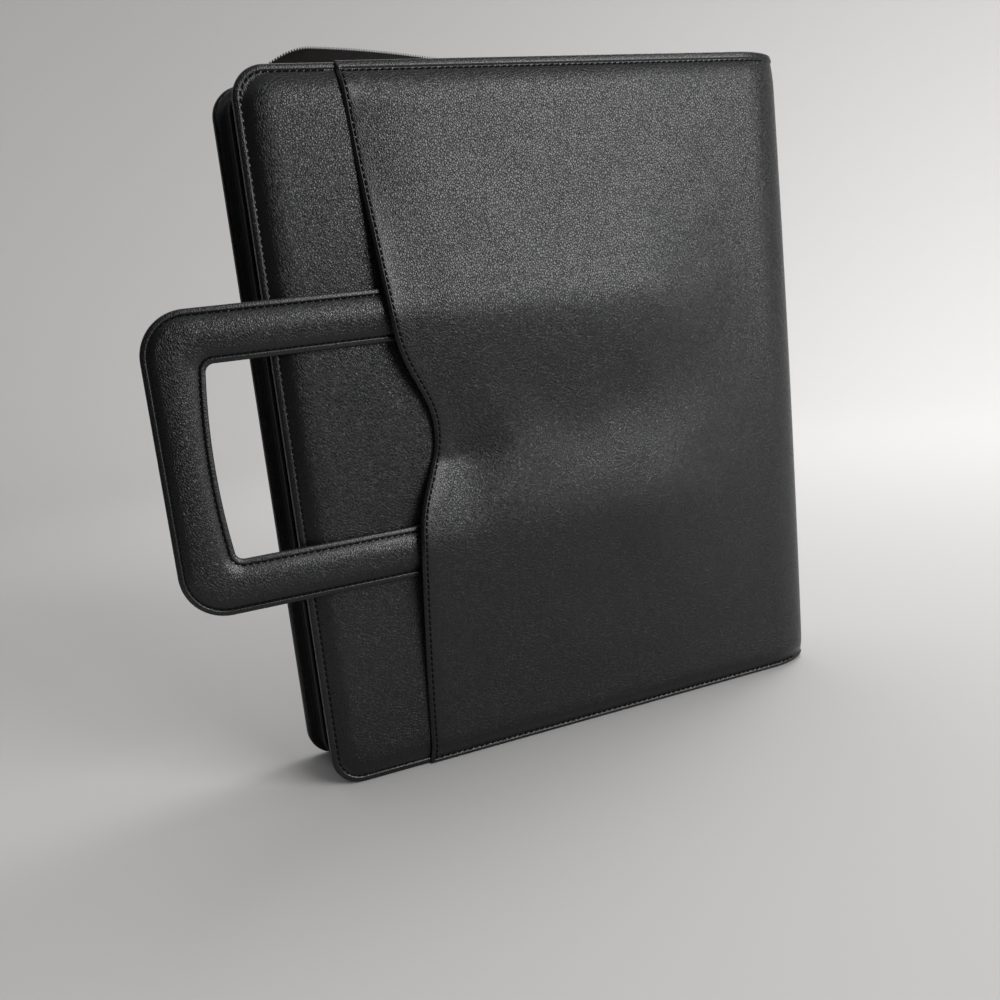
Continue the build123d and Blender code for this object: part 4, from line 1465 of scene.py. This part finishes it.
@dataclass
class Handle:
    """The U-shaped padded handle, its stop bar and the straps that guide it."""

    corner: float = 21.0
    arm: float = 24.5  # width of an arm
    grip: float = 26.0  # width of the grip
    bow: float = 2.5  # the grip's inner edge bellies this much
    inner_corner: float = 4.0
    crown: float = 4.62
    crown_power: float = 0.75
    crown_columns: int = 11
    arm_steps: int = 48
    corner_steps: int = 20
    grip_steps: int = 16  # over half the grip
    smooth_hem: float = 2.0  # width of the hem without grain
    fill: float = 0.85
    tongue_lap: float = 0.5  # the arms' flat ends reach this far into the padded part
    tongue_edge: float = 0.35
    bar_edge: float = 0.6
    strap: float = 0.8  # thickness of a strap
    strap_play: float = 0.75  # between a strap and its arm
    strap_bends: tuple = ((0.0, -5.6), (0.0, -1.2), (-0.5, 0.0))  # of its foot: out of the cover, and up
    strap_corner: float = 0.9
    strap_lead: float = 3.0  # from its corner to its even part
    edge: EdgeProfile = EdgeProfile(
        lines=(
            (1.3, 0.0), (0.5, 0.06), (0.1, 0.35), (0.0, 0.75), (0.12, 1.1), (0.4, 1.34),
            (0.12, 1.58), (0.0, 1.9), (0.06, 2.14), (0.25, 2.34), (0.6, 2.48), (1.0, 2.6),
            (1.35, 2.69), (1.65, 2.75), (1.92, 2.78), (2.18, 2.75), (2.4, 2.58), (2.6, 2.24), (2.8, 2.0),
            (3.0, 2.04), (3.4, 2.32), (4.0, 2.68), (4.8, 3.06), (5.6, 3.4),
        ),
        first_upper=7,
        groove=18,
    )

    def stations(self) -> tuple:
        """Matched points of the two edges, from the upper arm's end to the lower arm's.

        Returns:
            Outer points, outer normals into the leather, inner points, inner normals.
        """
        skin = Extent.of("handle_outer_skin")
        end_x, grip_x = skin.x[1], skin.x[0]
        span = (skin.z[1] - skin.z[0]) / 2
        gap = span - self.arm
        inner_x = grip_x + self.grip
        outer, outer_in, inner, inner_in = [], [], [], []
        for share in steps(0.0, 1.0, 1 / self.arm_steps):
            outer.append((end_x + (grip_x + self.corner - end_x) * share, span))
            inner.append((end_x + (inner_x + self.inner_corner - end_x) * share, gap))
            outer_in.append((0.0, -1.0))
            inner_in.append((0.0, 1.0))
        quarter = math.pi / 2
        turned = 1 - math.atan(2 * self.bow / (gap - self.inner_corner)) / quarter
        outer_pin = np.array((grip_x + self.corner, span - self.corner))
        inner_pin = np.array((inner_x + self.inner_corner, gap - self.inner_corner))
        for angle in steps(0.0, quarter, quarter / self.corner_steps)[1:]:
            ray = np.array((-math.sin(angle), math.cos(angle)))
            outer.append(outer_pin + self.corner * ray)
            outer_in.append(-ray)
            ray = np.array((-math.sin(angle * turned), math.cos(angle * turned)))
            inner.append(inner_pin + self.inner_corner * ray)
            inner_in.append(ray)
        start = inner[-1]
        for share in steps(0.0, 1.0, 1 / self.grip_steps)[1:]:
            at = start[1] * (1 - share)
            outer.append((grip_x, (span - self.corner) * (1 - share)))
            inner.append((start[0] - self.bow * (1 - (at / start[1]) ** 2), at))
            lean = 2 * self.bow * at / start[1] ** 2
            outer_in.append((1.0, 0.0))
            inner_in.append(np.array((-1.0, lean)) / math.hypot(1.0, lean))
        found = [np.array(row, float) for row in (outer, outer_in, inner, inner_in)]
        return tuple(np.vstack([row, row[-2::-1] * (1.0, -1.0)]) for row in found)

    def build(self) -> None:
        """Builds and dresses the handle and what belongs to it."""
        skin, inner_skin = Extent.of("handle_outer_skin"), Extent.of("handle_inner_skin")
        face_y, middle_z = inner_skin.y[1], (skin.z[0] + skin.z[1]) / 2
        outer, outer_in, inner, inner_in = self.stations()
        columns, heights = [], []
        for inset, lift in self.edge.lines:
            columns.append(outer + outer_in * inset)
            heights.append(lift)
        reach, edge_lift = self.edge.lines[-1]
        near, far = outer + outer_in * reach, inner + inner_in * reach
        for share in np.linspace(0.0, 1.0, self.crown_columns + 2)[1:-1]:
            columns.append(near + (far - near) * share)
            swell = math.sin(math.pi * share) ** self.crown_power
            heights.append(edge_lift + (self.crown - edge_lift) * swell)
        for inset, lift in reversed(self.edge.lines):
            columns.append(inner + inner_in * inset)
            heights.append(lift)
        flat = np.stack(columns, axis=1)
        depth = np.broadcast_to(face_y - np.array(heights), flat.shape[:2])
        points = np.stack([flat[..., 0], depth, flat[..., 1] + middle_z], axis=-1)
        hem = [line[0] for line in self.edge.lines]
        inset = np.array(hem + [self.arm / 2] * self.crown_columns + hem[::-1])
        draft = Draft()
        draft.tube(points, edge_grain(inset, self.smooth_hem))
        self.tongues(draft, inner_skin, skin)
        piece = draft.make("handle_leather_grip", HANDLE_LEATHER)
        ride(piece, Body.HANDLE, "handle_outer_skin", "handle_inner_skin", "handle_core", "handle_padding")
        self.sew(points)
        bar = Extent.of("handle_stop_bar")
        build_block("handle_stop_strip", CORE, Body.HANDLE, bar, self.bar_edge, "handle_stop_bar")
        self.straps()
        keep_solid("handle_rivets", NICKEL)

    def tongues(self, draft: Draft, inner_skin: Extent, skin: Extent) -> None:
        """Adds the flat ends of the arms, which run on under the stop bar.

        Args:
            draft: The handle's draft.
            inner_skin: Extent of the layer that runs on.
            skin: Extent of the padded part.
        """
        length = (skin.x[1] - self.tongue_lap, inner_skin.x[1])
        depth = (Extent.of("handle_stop_bar").y[1], inner_skin.y[1])
        for arm in ((skin.z[1] - self.arm, skin.z[1]), (skin.z[0], skin.z[0] + self.arm)):
            draft.slab(length, depth, arm, self.tongue_edge)

    def sew(self, points: np.ndarray) -> None:
        """Sews both edges of the handle.

        Args:
            points: Places of the handle's grid.
        """
        normals = surface_normals(points, (0, -1, 0))
        draft = Draft()
        for column in (self.edge.groove, points.shape[1] - 1 - self.edge.groove):
            Needle().sew(draft, Seam(points[:, column], normals[:, column]))
        ride(draft.make("handle_stitches", THREAD), Body.HANDLE)

    def straps(self) -> None:
        """Builds the loop over each arm, with a sewn foot on each side."""
        extent, rivets = Extent.of("handle_guide_straps"), Extent.of("handle_rivets").z
        half, turn = self.arm / 2 + self.strap_play, self.strap_corner
        low, high = extent.y[1] - self.strap / 2, extent.y[0] + self.strap / 2
        path = [(low + out, -half + up) for out, up in self.strap_bends]
        path += [(high + turn, -half), (high, -half + turn), (high, -half + self.strap_lead)]
        path += [(y, -z) for y, z in reversed(path)]
        draft = Draft()
        for middle in (rivets[0] + RIVET_RADIUS, rivets[1] - RIVET_RADIUS):
            ribbon(draft, [(y, middle + z) for y, z in path], self.strap, extent.x)
        ride(draft.make("handle_guide_loops", HANDLE_LEATHER), Body.FRONT, "handle_guide_straps")


def ribbon(
    draft: Draft, path: Sequence[tuple], thickness: float, extent: Sequence[float], axis: int = 0
) -> None:
    """Adds a strap of even thickness that follows a line in a plane.

    Args:
        draft: Draft to add it to.
        path: Middle line, as pairs of the two places that follow the axis in order.
        thickness: Thickness of the strap.
        extent: Lowest and highest place along the axis.
        axis: Axis that the strap's width lies along, 0 for X and 2 for Z.
    """
    line = np.array(path, float)
    ahead = np.gradient(line, axis=0)
    ahead /= np.linalg.norm(ahead, axis=1, keepdims=True)
    side = np.stack([-ahead[:, 1], ahead[:, 0]], axis=1) * thickness / 2
    (low, high), soft = extent, thickness * STRAP_EDGE
    section = ((low, soft), (low + soft, 0.0), (high - soft, 0.0), (high, soft))
    corners = []
    for sign, face in ((1, section), (-1, section[::-1])):
        for width, inset in face:
            flat = line + side * sign * (1 - 2 * inset / thickness)
            at = np.full((len(flat), 1), width)
            corners.append(np.hstack([at, flat] if axis == 0 else [flat, at]))
    draft.tube(np.stack(corners, axis=1))


@dataclass
class Zip:
    """Two tapes that make the side walls, each with a coil; one stands up where it is undone."""

    case: CaseFrame
    corner: float = 15.0
    inset: float = 5.35  # of the zip's line from the covers' edges
    tape: float = 0.6  # thickness of a tape
    tape_lap: float = 0.3  # a tape reaches this far into its cover
    tape_step: float = 2.5
    tape_columns: int = 9
    bow: float = 0.5
    coil_pitch: float = 1.2
    coil_step: float = 0.5
    coil_gap: float = 0.75  # from the tape to the coil's middle
    coil_out: float = 0.62  # the coil's two radii
    coil_over: float = 0.58
    wire: float = 0.72
    wire_sides: int = 4
    wire_steps: int = 8  # in a turn of the coil
    clip: float = 2.3  # height of an end clip
    clip_edge: float = 0.5
    flare_start: float = -14.0  # along the zip's line, from the end of the head edge's straight
    flare_rise: float = 38.0
    flare_fall: float = 142.0
    flare_angle: float = 58.0
    flare_ease: float = 0.6  # how much the long fall levels out at both ends

    def path(self, side: Side, end_x: float, step: float) -> tuple:
        """The line of the zip, from the head edge round the fore edge to the tail edge.

        Args:
            side: Half of the case.
            end_x: Where it ends, by the spine.
            step: Distance between points.

        Returns:
            Points in the plane of the covers, and their directions outwards.
        """
        case, inset = self.case, self.inset
        radius = self.corner - inset
        left, top = case.fore_edge(side) + inset, case.height - inset
        points, outward = [], []
        for x in steps(end_x, left + radius, step):
            points.append((x, top))
            outward.append((0.0, 1.0))
        for angle in steps(0.0, math.pi / 2, step / radius)[1:-1]:
            ray = (-math.sin(angle), math.cos(angle))
            points.append((left + radius + radius * ray[0], top - radius + radius * ray[1]))
            outward.append(ray)
        for z in steps(top - radius, case.middle_z, step):
            points.append((left, z))
            outward.append((-1.0, 0.0))
        upper, facing = np.array(points), np.array(outward)
        lower = upper[-2::-1] * (1, -1) + (0, case.height)
        return np.vstack([upper, lower]), np.vstack([facing, facing[-2::-1] * (1, -1)])

    def lean(self, side: Side, line: np.ndarray) -> np.ndarray:
        """Angle at which the tape stands up at each point of its line.

        Args:
            side: Half of the case.
            line: Points of the zip's line.

        Returns:
            Angles in radians.
        """
        if side is Side.BACK:
            return np.zeros(len(line))
        straight = self.case.fore_x + self.corner
        run = line[0, 0] - straight - runs(line) - self.flare_start
        rising = smooth(run / self.flare_rise)
        left = (self.flare_rise + self.flare_fall - run) / self.flare_fall
        falling = self.flare_ease * smooth(left) + (1 - self.flare_ease) * np.clip(left, 0.0, 1.0)
        return math.radians(self.flare_angle) * np.where(run < self.flare_rise, rising, falling)

    def spot(
        self, side: Side, line: np.ndarray, outward: np.ndarray, out: np.ndarray, over: np.ndarray
    ) -> np.ndarray:
        """Places points of the tape or its coil.

        Args:
            side: Half of the case.
            line: Points of the zip's line.
            outward: Directions out of the case.
            out: Distances out of the tape's middle.
            over: Distances from the tape's sewn edge.

        Returns:
            The points.
        """
        lean = self.lean(side, line)
        sewn = self.case.hem_y(side) - side.value * self.case.cover
        rise = out * np.cos(lean) + over * np.sin(lean)
        depth = over * np.cos(lean) - out * np.sin(lean)
        flat = line + outward * rise[:, None]
        return np.stack([flat[:, 0], sewn - side.value * depth, flat[:, 1]], axis=1)

    def build(self) -> None:
        """Builds and dresses both halves of the zip."""
        for side in Side:
            self.build_tape(side)
            self.build_coil(side)
            self.build_stops(side)
        for node in ("zip_slider", "zip_pull_tab"):
            keep_solid(node, LACQUER)

    def width(self, side: Side) -> float:
        """Width of a tape from its sewn edge to its coil."""
        sewn = self.case.hem_y(side) - side.value * self.case.cover
        return min(abs(place - sewn) for place in Extent.of(f"{side.label}_zip_stops").y)

    def build_tape(self, side: Side) -> None:
        """Builds one tape, which bows a little outwards.

        Args:
            side: Half of the case.
        """
        label = side.label
        line, outward = self.path(side, Extent.of(f"{label}_zip_tape").x[1], self.tape_step)
        width, ones = self.width(side), np.ones(len(line))
        columns = []
        for face in (1, -1):
            for over in np.linspace(-self.tape_lap, width, self.tape_columns)[::face]:
                share = np.clip(over / width, 0.0, 1.0)
                out = self.bow * math.sin(math.pi * share) + face * self.tape / 2
                columns.append(self.spot(side, line, outward, out * ones, over * ones))
        draft = Draft()
        draft.tube(np.stack(columns, axis=1))
        piece = draft.make(f"{label}_zip_tape_cloth", TAPE)
        raised = ["front_zip_flare"] if side is Side.FRONT else []
        ride(piece, side.body, f"{label}_zip_tape", *raised)

    def build_coil(self, side: Side) -> None:
        """Builds one coil as a wound wire along the tape's free edge.

        Args:
            side: Half of the case.
        """
        line, outward = self.path(side, Extent.of(f"{side.label}_zip_coil").x[1], self.coil_step)
        run = runs(line)
        turns = int(run[-1] / self.coil_pitch)
        spots = np.linspace(0.0, run[-1], turns * self.wire_steps + 1)
        at, facing = sample(spots, run, line), sample(spots, run, outward)
        facing /= np.linalg.norm(facing, axis=1, keepdims=True)
        turn = np.arange(len(spots)) * math.tau / self.wire_steps
        middle, half = self.width(side) + self.coil_gap, self.wire * 0.5
        corners = []
        for corner in range(self.wire_sides):
            angle = math.tau * (corner + 0.5) / self.wire_sides
            out = (self.coil_out + half * math.cos(angle)) * np.sin(turn)
            over = middle + (self.coil_over + half * math.cos(angle)) * np.cos(turn)
            ahead = np.stack([facing[:, 1], -facing[:, 0]], axis=1) * (half * math.sin(angle))
            corners.append(self.spot(side, at + ahead, facing, out, over))
        draft = Draft()
        draft.tube(np.stack(corners, axis=1))
        ride(draft.make(f"{side.label}_zip_teeth", COIL), side.body, f"{side.label}_zip_coil")

    def build_stops(self, side: Side) -> None:
        """Builds the crimped stops at the coil's two ends.

        Args:
            side: Half of the case.
        """
        extent = Extent.of(f"{side.label}_zip_stops")
        draft = Draft()
        for low in (extent.z[0], extent.z[1] - self.clip):
            draft.slab(extent.x, extent.y, (low, low + self.clip), self.clip_edge)
        ride(draft.make(f"{side.label}_zip_end_clips", LACQUER), side.body, f"{side.label}_zip_stops")


@dataclass
class FlatPocket:
    """A flat sheet sewn to a lining, such as a pocket, a slot or the lining itself."""

    name: str
    node: str
    side: Side
    finish: Finish
    rests_on: str  # piece that it lies on
    corner: float = 0.0
    sewn: bool = True
    mouth: float = 4.0  # its upper edge is open, so its seams stop this far below
    step: float = 9.0
    border: float = 2.0  # between the edge lines and the first inner line
    needle: Needle = Needle(pitch=2.8, length=2.2, width=0.5, height=0.3)
    profile: EdgeProfile = EdgeProfile(
        lines=(
            (3.0, 0.02), (0.5, 0.04), (0.1, 0.2), (0.0, 0.45), (0.1, 0.72), (0.4, 0.94), (0.9, 1.0),
            (1.6, 0.98), (2.1, 0.86), (2.5, 0.76), (2.9, 0.86), (3.6, 0.96), (4.4, 1.0), (6.0, 1.0),
        ),
        first_upper=4,
        groove=9,
    )

    def build(self) -> bpy.types.Object:
        """Builds and dresses the sheet.

        Returns:
            The sheet's piece.
        """
        extent = Extent.of(self.node)
        width, length = extent.x[1] - extent.x[0], extent.z[1] - extent.z[0]
        thick = extent.y[1] - extent.y[0]
        base_y = extent.y[1] if self.side is Side.BACK else extent.y[0]
        lines = self.profile.lines
        if self.corner:
            lines = lines + ((self.corner, lines[-1][1]),)
        profile = EdgeProfile(lines, self.profile.first_upper, self.profile.groove)
        inner = lines[-1][0] + self.border
        across, along = (steps(inner, size - inner, self.step) for size in (width, length))
        panel = Panel(profile, across, along, length, self.corner, width)
        depth = base_y - self.side.value * panel.lift * thick
        points = np.stack([extent.x[0] + panel.fore, depth, extent.z[0] + panel.rise], axis=-1)
        draft = Draft()
        panel.close_flat(draft, draft.grid(points))
        piece = draft.make(self.name, self.finish)
        ride(piece, self.side.body, self.node)
        if self.sewn:
            seam = Seam.on_grid(panel, points, (0, -self.side.value, 0))
            rows = Draft()
            self.needle.sew(rows, seam.where(seam.points[:, 2] < extent.z[1] - self.mouth))
            ride(rows.make(f"{self.name}_stitches", THREAD), self.side.body)
        return piece


@dataclass
class Inside:
    """What the case holds: linings, writing pad, pen loop and pockets."""

    lining_corner: float = 13.8
    board_gap: float = 0.15  # of the spine's board inside its leather
    board_edge: float = 0.7
    backing_edge: float = 0.3
    sheets: int = 20
    slip: float = 0.18  # how far a sheet lies out of line
    sheet_gap: float = 0.02
    top_gap: float = 0.2  # between the sheets and the binding's fold
    binding: float = 0.4  # thickness of the binding tape
    binding_bends: tuple = ((0.2, 1.0), (0.5, 0.35), (1.2, 0.2))  # in from its face, down from its top
    loop: float = 0.8  # thickness of the pen loop
    loop_foot: float = 3.0  # from the loop's middle to its foot
    loop_lift: float = 0.1  # of the loop where it leaves its foot
    loop_turn: tuple = (105.0, 435.0, 11.0)  # degrees: from, to, and their step

    def build(self) -> None:
        """Builds and dresses everything inside."""
        for side in Side:
            name, cover = f"{side.label}_lining", f"{side.label}_cover_leather"
            FlatPocket(f"{name}_cloth", name, side, LINING, cover, self.lining_corner, sewn=False).build()
        FlatPocket("pad_sleeve_sheet", "pad_sleeve", Side.BACK, LINING, "back_lining_cloth").build()
        pocket = "document_pocket_sheet"
        FlatPocket(pocket, "document_pocket", Side.FRONT, POCKET_CLOTH, "front_lining_cloth").build()
        for slot in (1, 2, 3):
            name = f"card_slot_sheet_{slot}"
            FlatPocket(name, f"card_slot_{slot}", Side.FRONT, POCKET_CLOTH, pocket).build()
        self.spine()
        self.pad()
        self.pen_loop()

    def spine(self) -> None:
        """Builds the spine's lining over its board."""
        board, lining = Extent.of("spine_board"), Extent.of("spine_lining")
        both = Extent((lining.x[0], board.x[1] - self.board_gap), lining.y, lining.z)
        nodes = ("spine_board", "spine_lining")
        build_block("spine_lining_cloth", LINING, Body.SPINE, both, self.board_edge, *nodes)

    def pad(self) -> None:
        """Builds the writing pad: backing, a stack of sheets and the binding."""
        backing, paper = Extent.of("pad_backing_board"), Extent.of("pad_paper_block")
        build_block("pad_backing_card", CARD, Body.BACK, backing, self.backing_edge, "pad_backing_board")
        pick = np.random.default_rng(RIPPLE_SEED)
        draft = Draft()
        faces = np.linspace(paper.y[1], paper.y[0], self.sheets + 1)
        for near, far in zip(faces[:-1], faces[1:]):
            dx, dz = pick.uniform(-self.slip, self.slip, 2)
            across, up = (paper.x[0] + dx, paper.x[1] + dx), (paper.z[0] + dz, paper.z[1] - self.top_gap)
            draft.slab(across, (far + self.sheet_gap, near), up)
        ride(draft.make("pad_sheets", SHEETS), Body.BACK, "pad_paper_block")
        strip = Extent.of("pad_binding_strip")
        (front, back), (foot, top), half = strip.y, strip.z, self.binding / 2
        path = [(front + half, foot)]
        path += [(front + inset, top - down) for inset, down in self.binding_bends]
        path += [(back - inset, top - down) for inset, down in reversed(self.binding_bends)]
        path += [(back - half, foot)]
        draft = Draft()
        ribbon(draft, path, self.binding, strip.x)
        ride(draft.make("pad_binding_tape", BINDING), Body.BACK, "pad_binding_strip")

    def pen_loop(self) -> None:
        """Builds the elastic loop and its sewn foot."""
        extent, half = Extent.of("pen_loop"), self.loop / 2
        radius = (extent.y[1] - extent.y[0]) / 2 - half
        x, y = (extent.x[0] + extent.x[1]) / 2, (extent.y[0] + extent.y[1]) / 2
        foot_y = extent.y[1] - half
        bend_y = foot_y - self.loop_lift
        path = [(extent.x[0], foot_y), (x - self.loop_foot, bend_y)]
        for angle in np.radians(steps(*self.loop_turn)):
            path.append((x + radius * math.cos(angle), y + radius * math.sin(angle)))
        path += [(x + self.loop_foot, bend_y), (extent.x[1], foot_y)]
        draft = Draft()
        ribbon(draft, path, self.loop, extent.z, axis=2)
        ride(draft.make("pen_loop_elastic", ELASTIC), Body.BACK, "pen_loop")


# Studio


@dataclass
class Studio:
    """A pale floor that curves up all round, soft lights and the camera."""

    flat: float = 1.1  # metres; radius of the level floor
    curve: float = 1.2  # metres; radius of the curve between floor and wall
    wall: float = 2.3  # metres; top of the wall
    pale: tuple = (0.45, 0.442, 0.437)
    shaded: tuple = (0.03, 0.03, 0.03)
    shaded_way: tuple = (-0.3, -0.95, 0.0)  # the surround is darker this way
    shaded_from: float = 0.36  # metres; where it starts to darken, and where it is darkest
    shaded_full: float = 0.85
    paper: float = 0.9  # roughness of the surround
    sky: tuple = (0.98, 0.99, 1.0, 1.0)
    sides: int = 72
    curve_step: float = 6.0  # degrees
    sensor: float = 36.0
    lens: float = 37.09
    camera_place: tuple = (-0.19584, -0.48888, 0.22955)
    camera_right: tuple = (0.91785, -0.38235, -0.10661)
    camera_up: tuple = (0.17342, 0.14467, 0.97416)
    ambient: float = 0.48
    lights: tuple = (
        ("key_softbox", (0.84, -1.49, 0.84), (0.02, 0.0, 0.17), (1.12, 1.15), 38.0),
        ("fill_softbox", (0.98, -1.1, 0.2), (0.1, 0.0, 0.2), (0.44, 0.36), 2.4),
        ("top_softbox", (0.35, 0.35, 2.1), (0.02, 0.0, 0.17), (1.5, 1.2), 15.0),
        ("wall_softbox", (0.9, 0.3, 1.15), (1.25, 1.1, 0.1), (0.6, 0.6), 18.5),
    )

    def build(self) -> None:
        """Builds the floor, the lights and the camera."""
        self.floor()
        self.world()
        for name, place, target, size, power in self.lights:
            self.softbox(name, place, target, size, power)
        self.camera()
        bpy.context.scene.view_settings.view_transform = "Standard"

    def floor(self) -> None:
        """Lays the floor that the case stands on, with its wall."""
        section = [(0.0, 0.0), (self.flat, 0.0)]
        for angle in np.radians(steps(0.0, 90.0, self.curve_step))[1:]:
            section.append((self.flat + self.curve * math.sin(angle), self.curve * (1 - math.cos(angle))))
        section.append((self.flat + self.curve, self.wall))
        points, faces = [], []
        count = len(section)
        for turn in range(self.sides):
            angle = math.tau * turn / self.sides
            points.extend((r * math.cos(angle), r * math.sin(angle), z) for r, z in section)
            near, far = turn * count, (turn + 1) % self.sides * count
            faces.append((0, near + 1, far + 1))
            faces.extend((near + i, near + i + 1, far + i + 1, far + i) for i in range(1, count - 1))
        mesh = bpy.data.meshes.new("studio_floor")
        mesh.from_pydata(points, [], faces)
        mesh.shade_smooth()
        floor = bpy.data.objects.new("studio_floor", mesh)
        bpy.context.scene.collection.objects.link(floor)
        mesh.materials.append(self.floor_material())

    def floor_material(self) -> bpy.types.Material:
        """The floor's pale paper, which darkens towards one side.

        Returns:
            The material.
        """
        bench = NodeBench("pale_surround")
        bench.shader.inputs["Roughness"].default_value = self.paper
        spot = bench.add("TexCoord")
        way = bench.add("VectorMath", {"operation": "DOT_PRODUCT"})
        way.inputs[1].default_value = self.shaded_way
        bench.link(spot, "Object", way, 0)
        share = bench.ranged(way, "Value", From_Min=self.shaded_from, From_Max=self.shaded_full)
        bench.tint(share, "Result", ((0.0, self.pale), (1.0, self.shaded)))
        return bench.material

    def world(self) -> None:
        """Sets an even pale sky above the wall."""
        world = bpy.data.worlds.new("studio_surround")
        world.use_nodes = True
        surround = world.node_tree.nodes["Background"]
        surround.inputs["Color"].default_value = self.sky
        surround.inputs["Strength"].default_value = self.ambient
        bpy.context.scene.world = world

    def softbox(self, name: str, place: tuple, target: tuple, size: tuple, power: float) -> None:
        """Hangs one large soft light.

        Args:
            name: Name of the light.
            place: Its place in metres.
            target: Where it points.
            size: Its width and height in metres.
            power: Its power in watts.
        """
        data = bpy.data.lights.new(name, "AREA")
        data.shape = "RECTANGLE"
        data.size, data.size_y = size
        data.energy = power
        light = bpy.data.objects.new(name, data)
        light.location = place
        aim = Vector(target) - Vector(place)
        light.rotation_euler = aim.to_track_quat("-Z", "Y").to_euler()
        bpy.context.scene.collection.objects.link(light)

    def camera(self) -> None:
        """Places the camera at the photograph's viewing angle."""
        data = bpy.data.cameras.new("camera")
        data.lens = self.lens
        data.sensor_width = self.sensor
        camera = bpy.data.objects.new("camera", data)
        right, up = Vector(self.camera_right), Vector(self.camera_up)
        turn = Matrix((right, up, right.cross(up))).transposed().to_4x4()
        camera.matrix_world = Matrix.Translation(self.camera_place) @ turn
        bpy.context.scene.collection.objects.link(camera)
        bpy.context.scene.camera = camera


def main() -> None:
    """Builds and dresses the padfolio, sub-assembly by sub-assembly."""
    logging.basicConfig(level=logging.INFO, format="%(name)s: %(message)s")
    case = CaseFrame.measure()
    for side in Side:
        CoverPanel(case, side).build()
    Handle().build()
    FrontPocket(case).build()
    Zip(case).build()
    Inside().build()
    Studio().build()


if __name__ == "__main__":
    main()
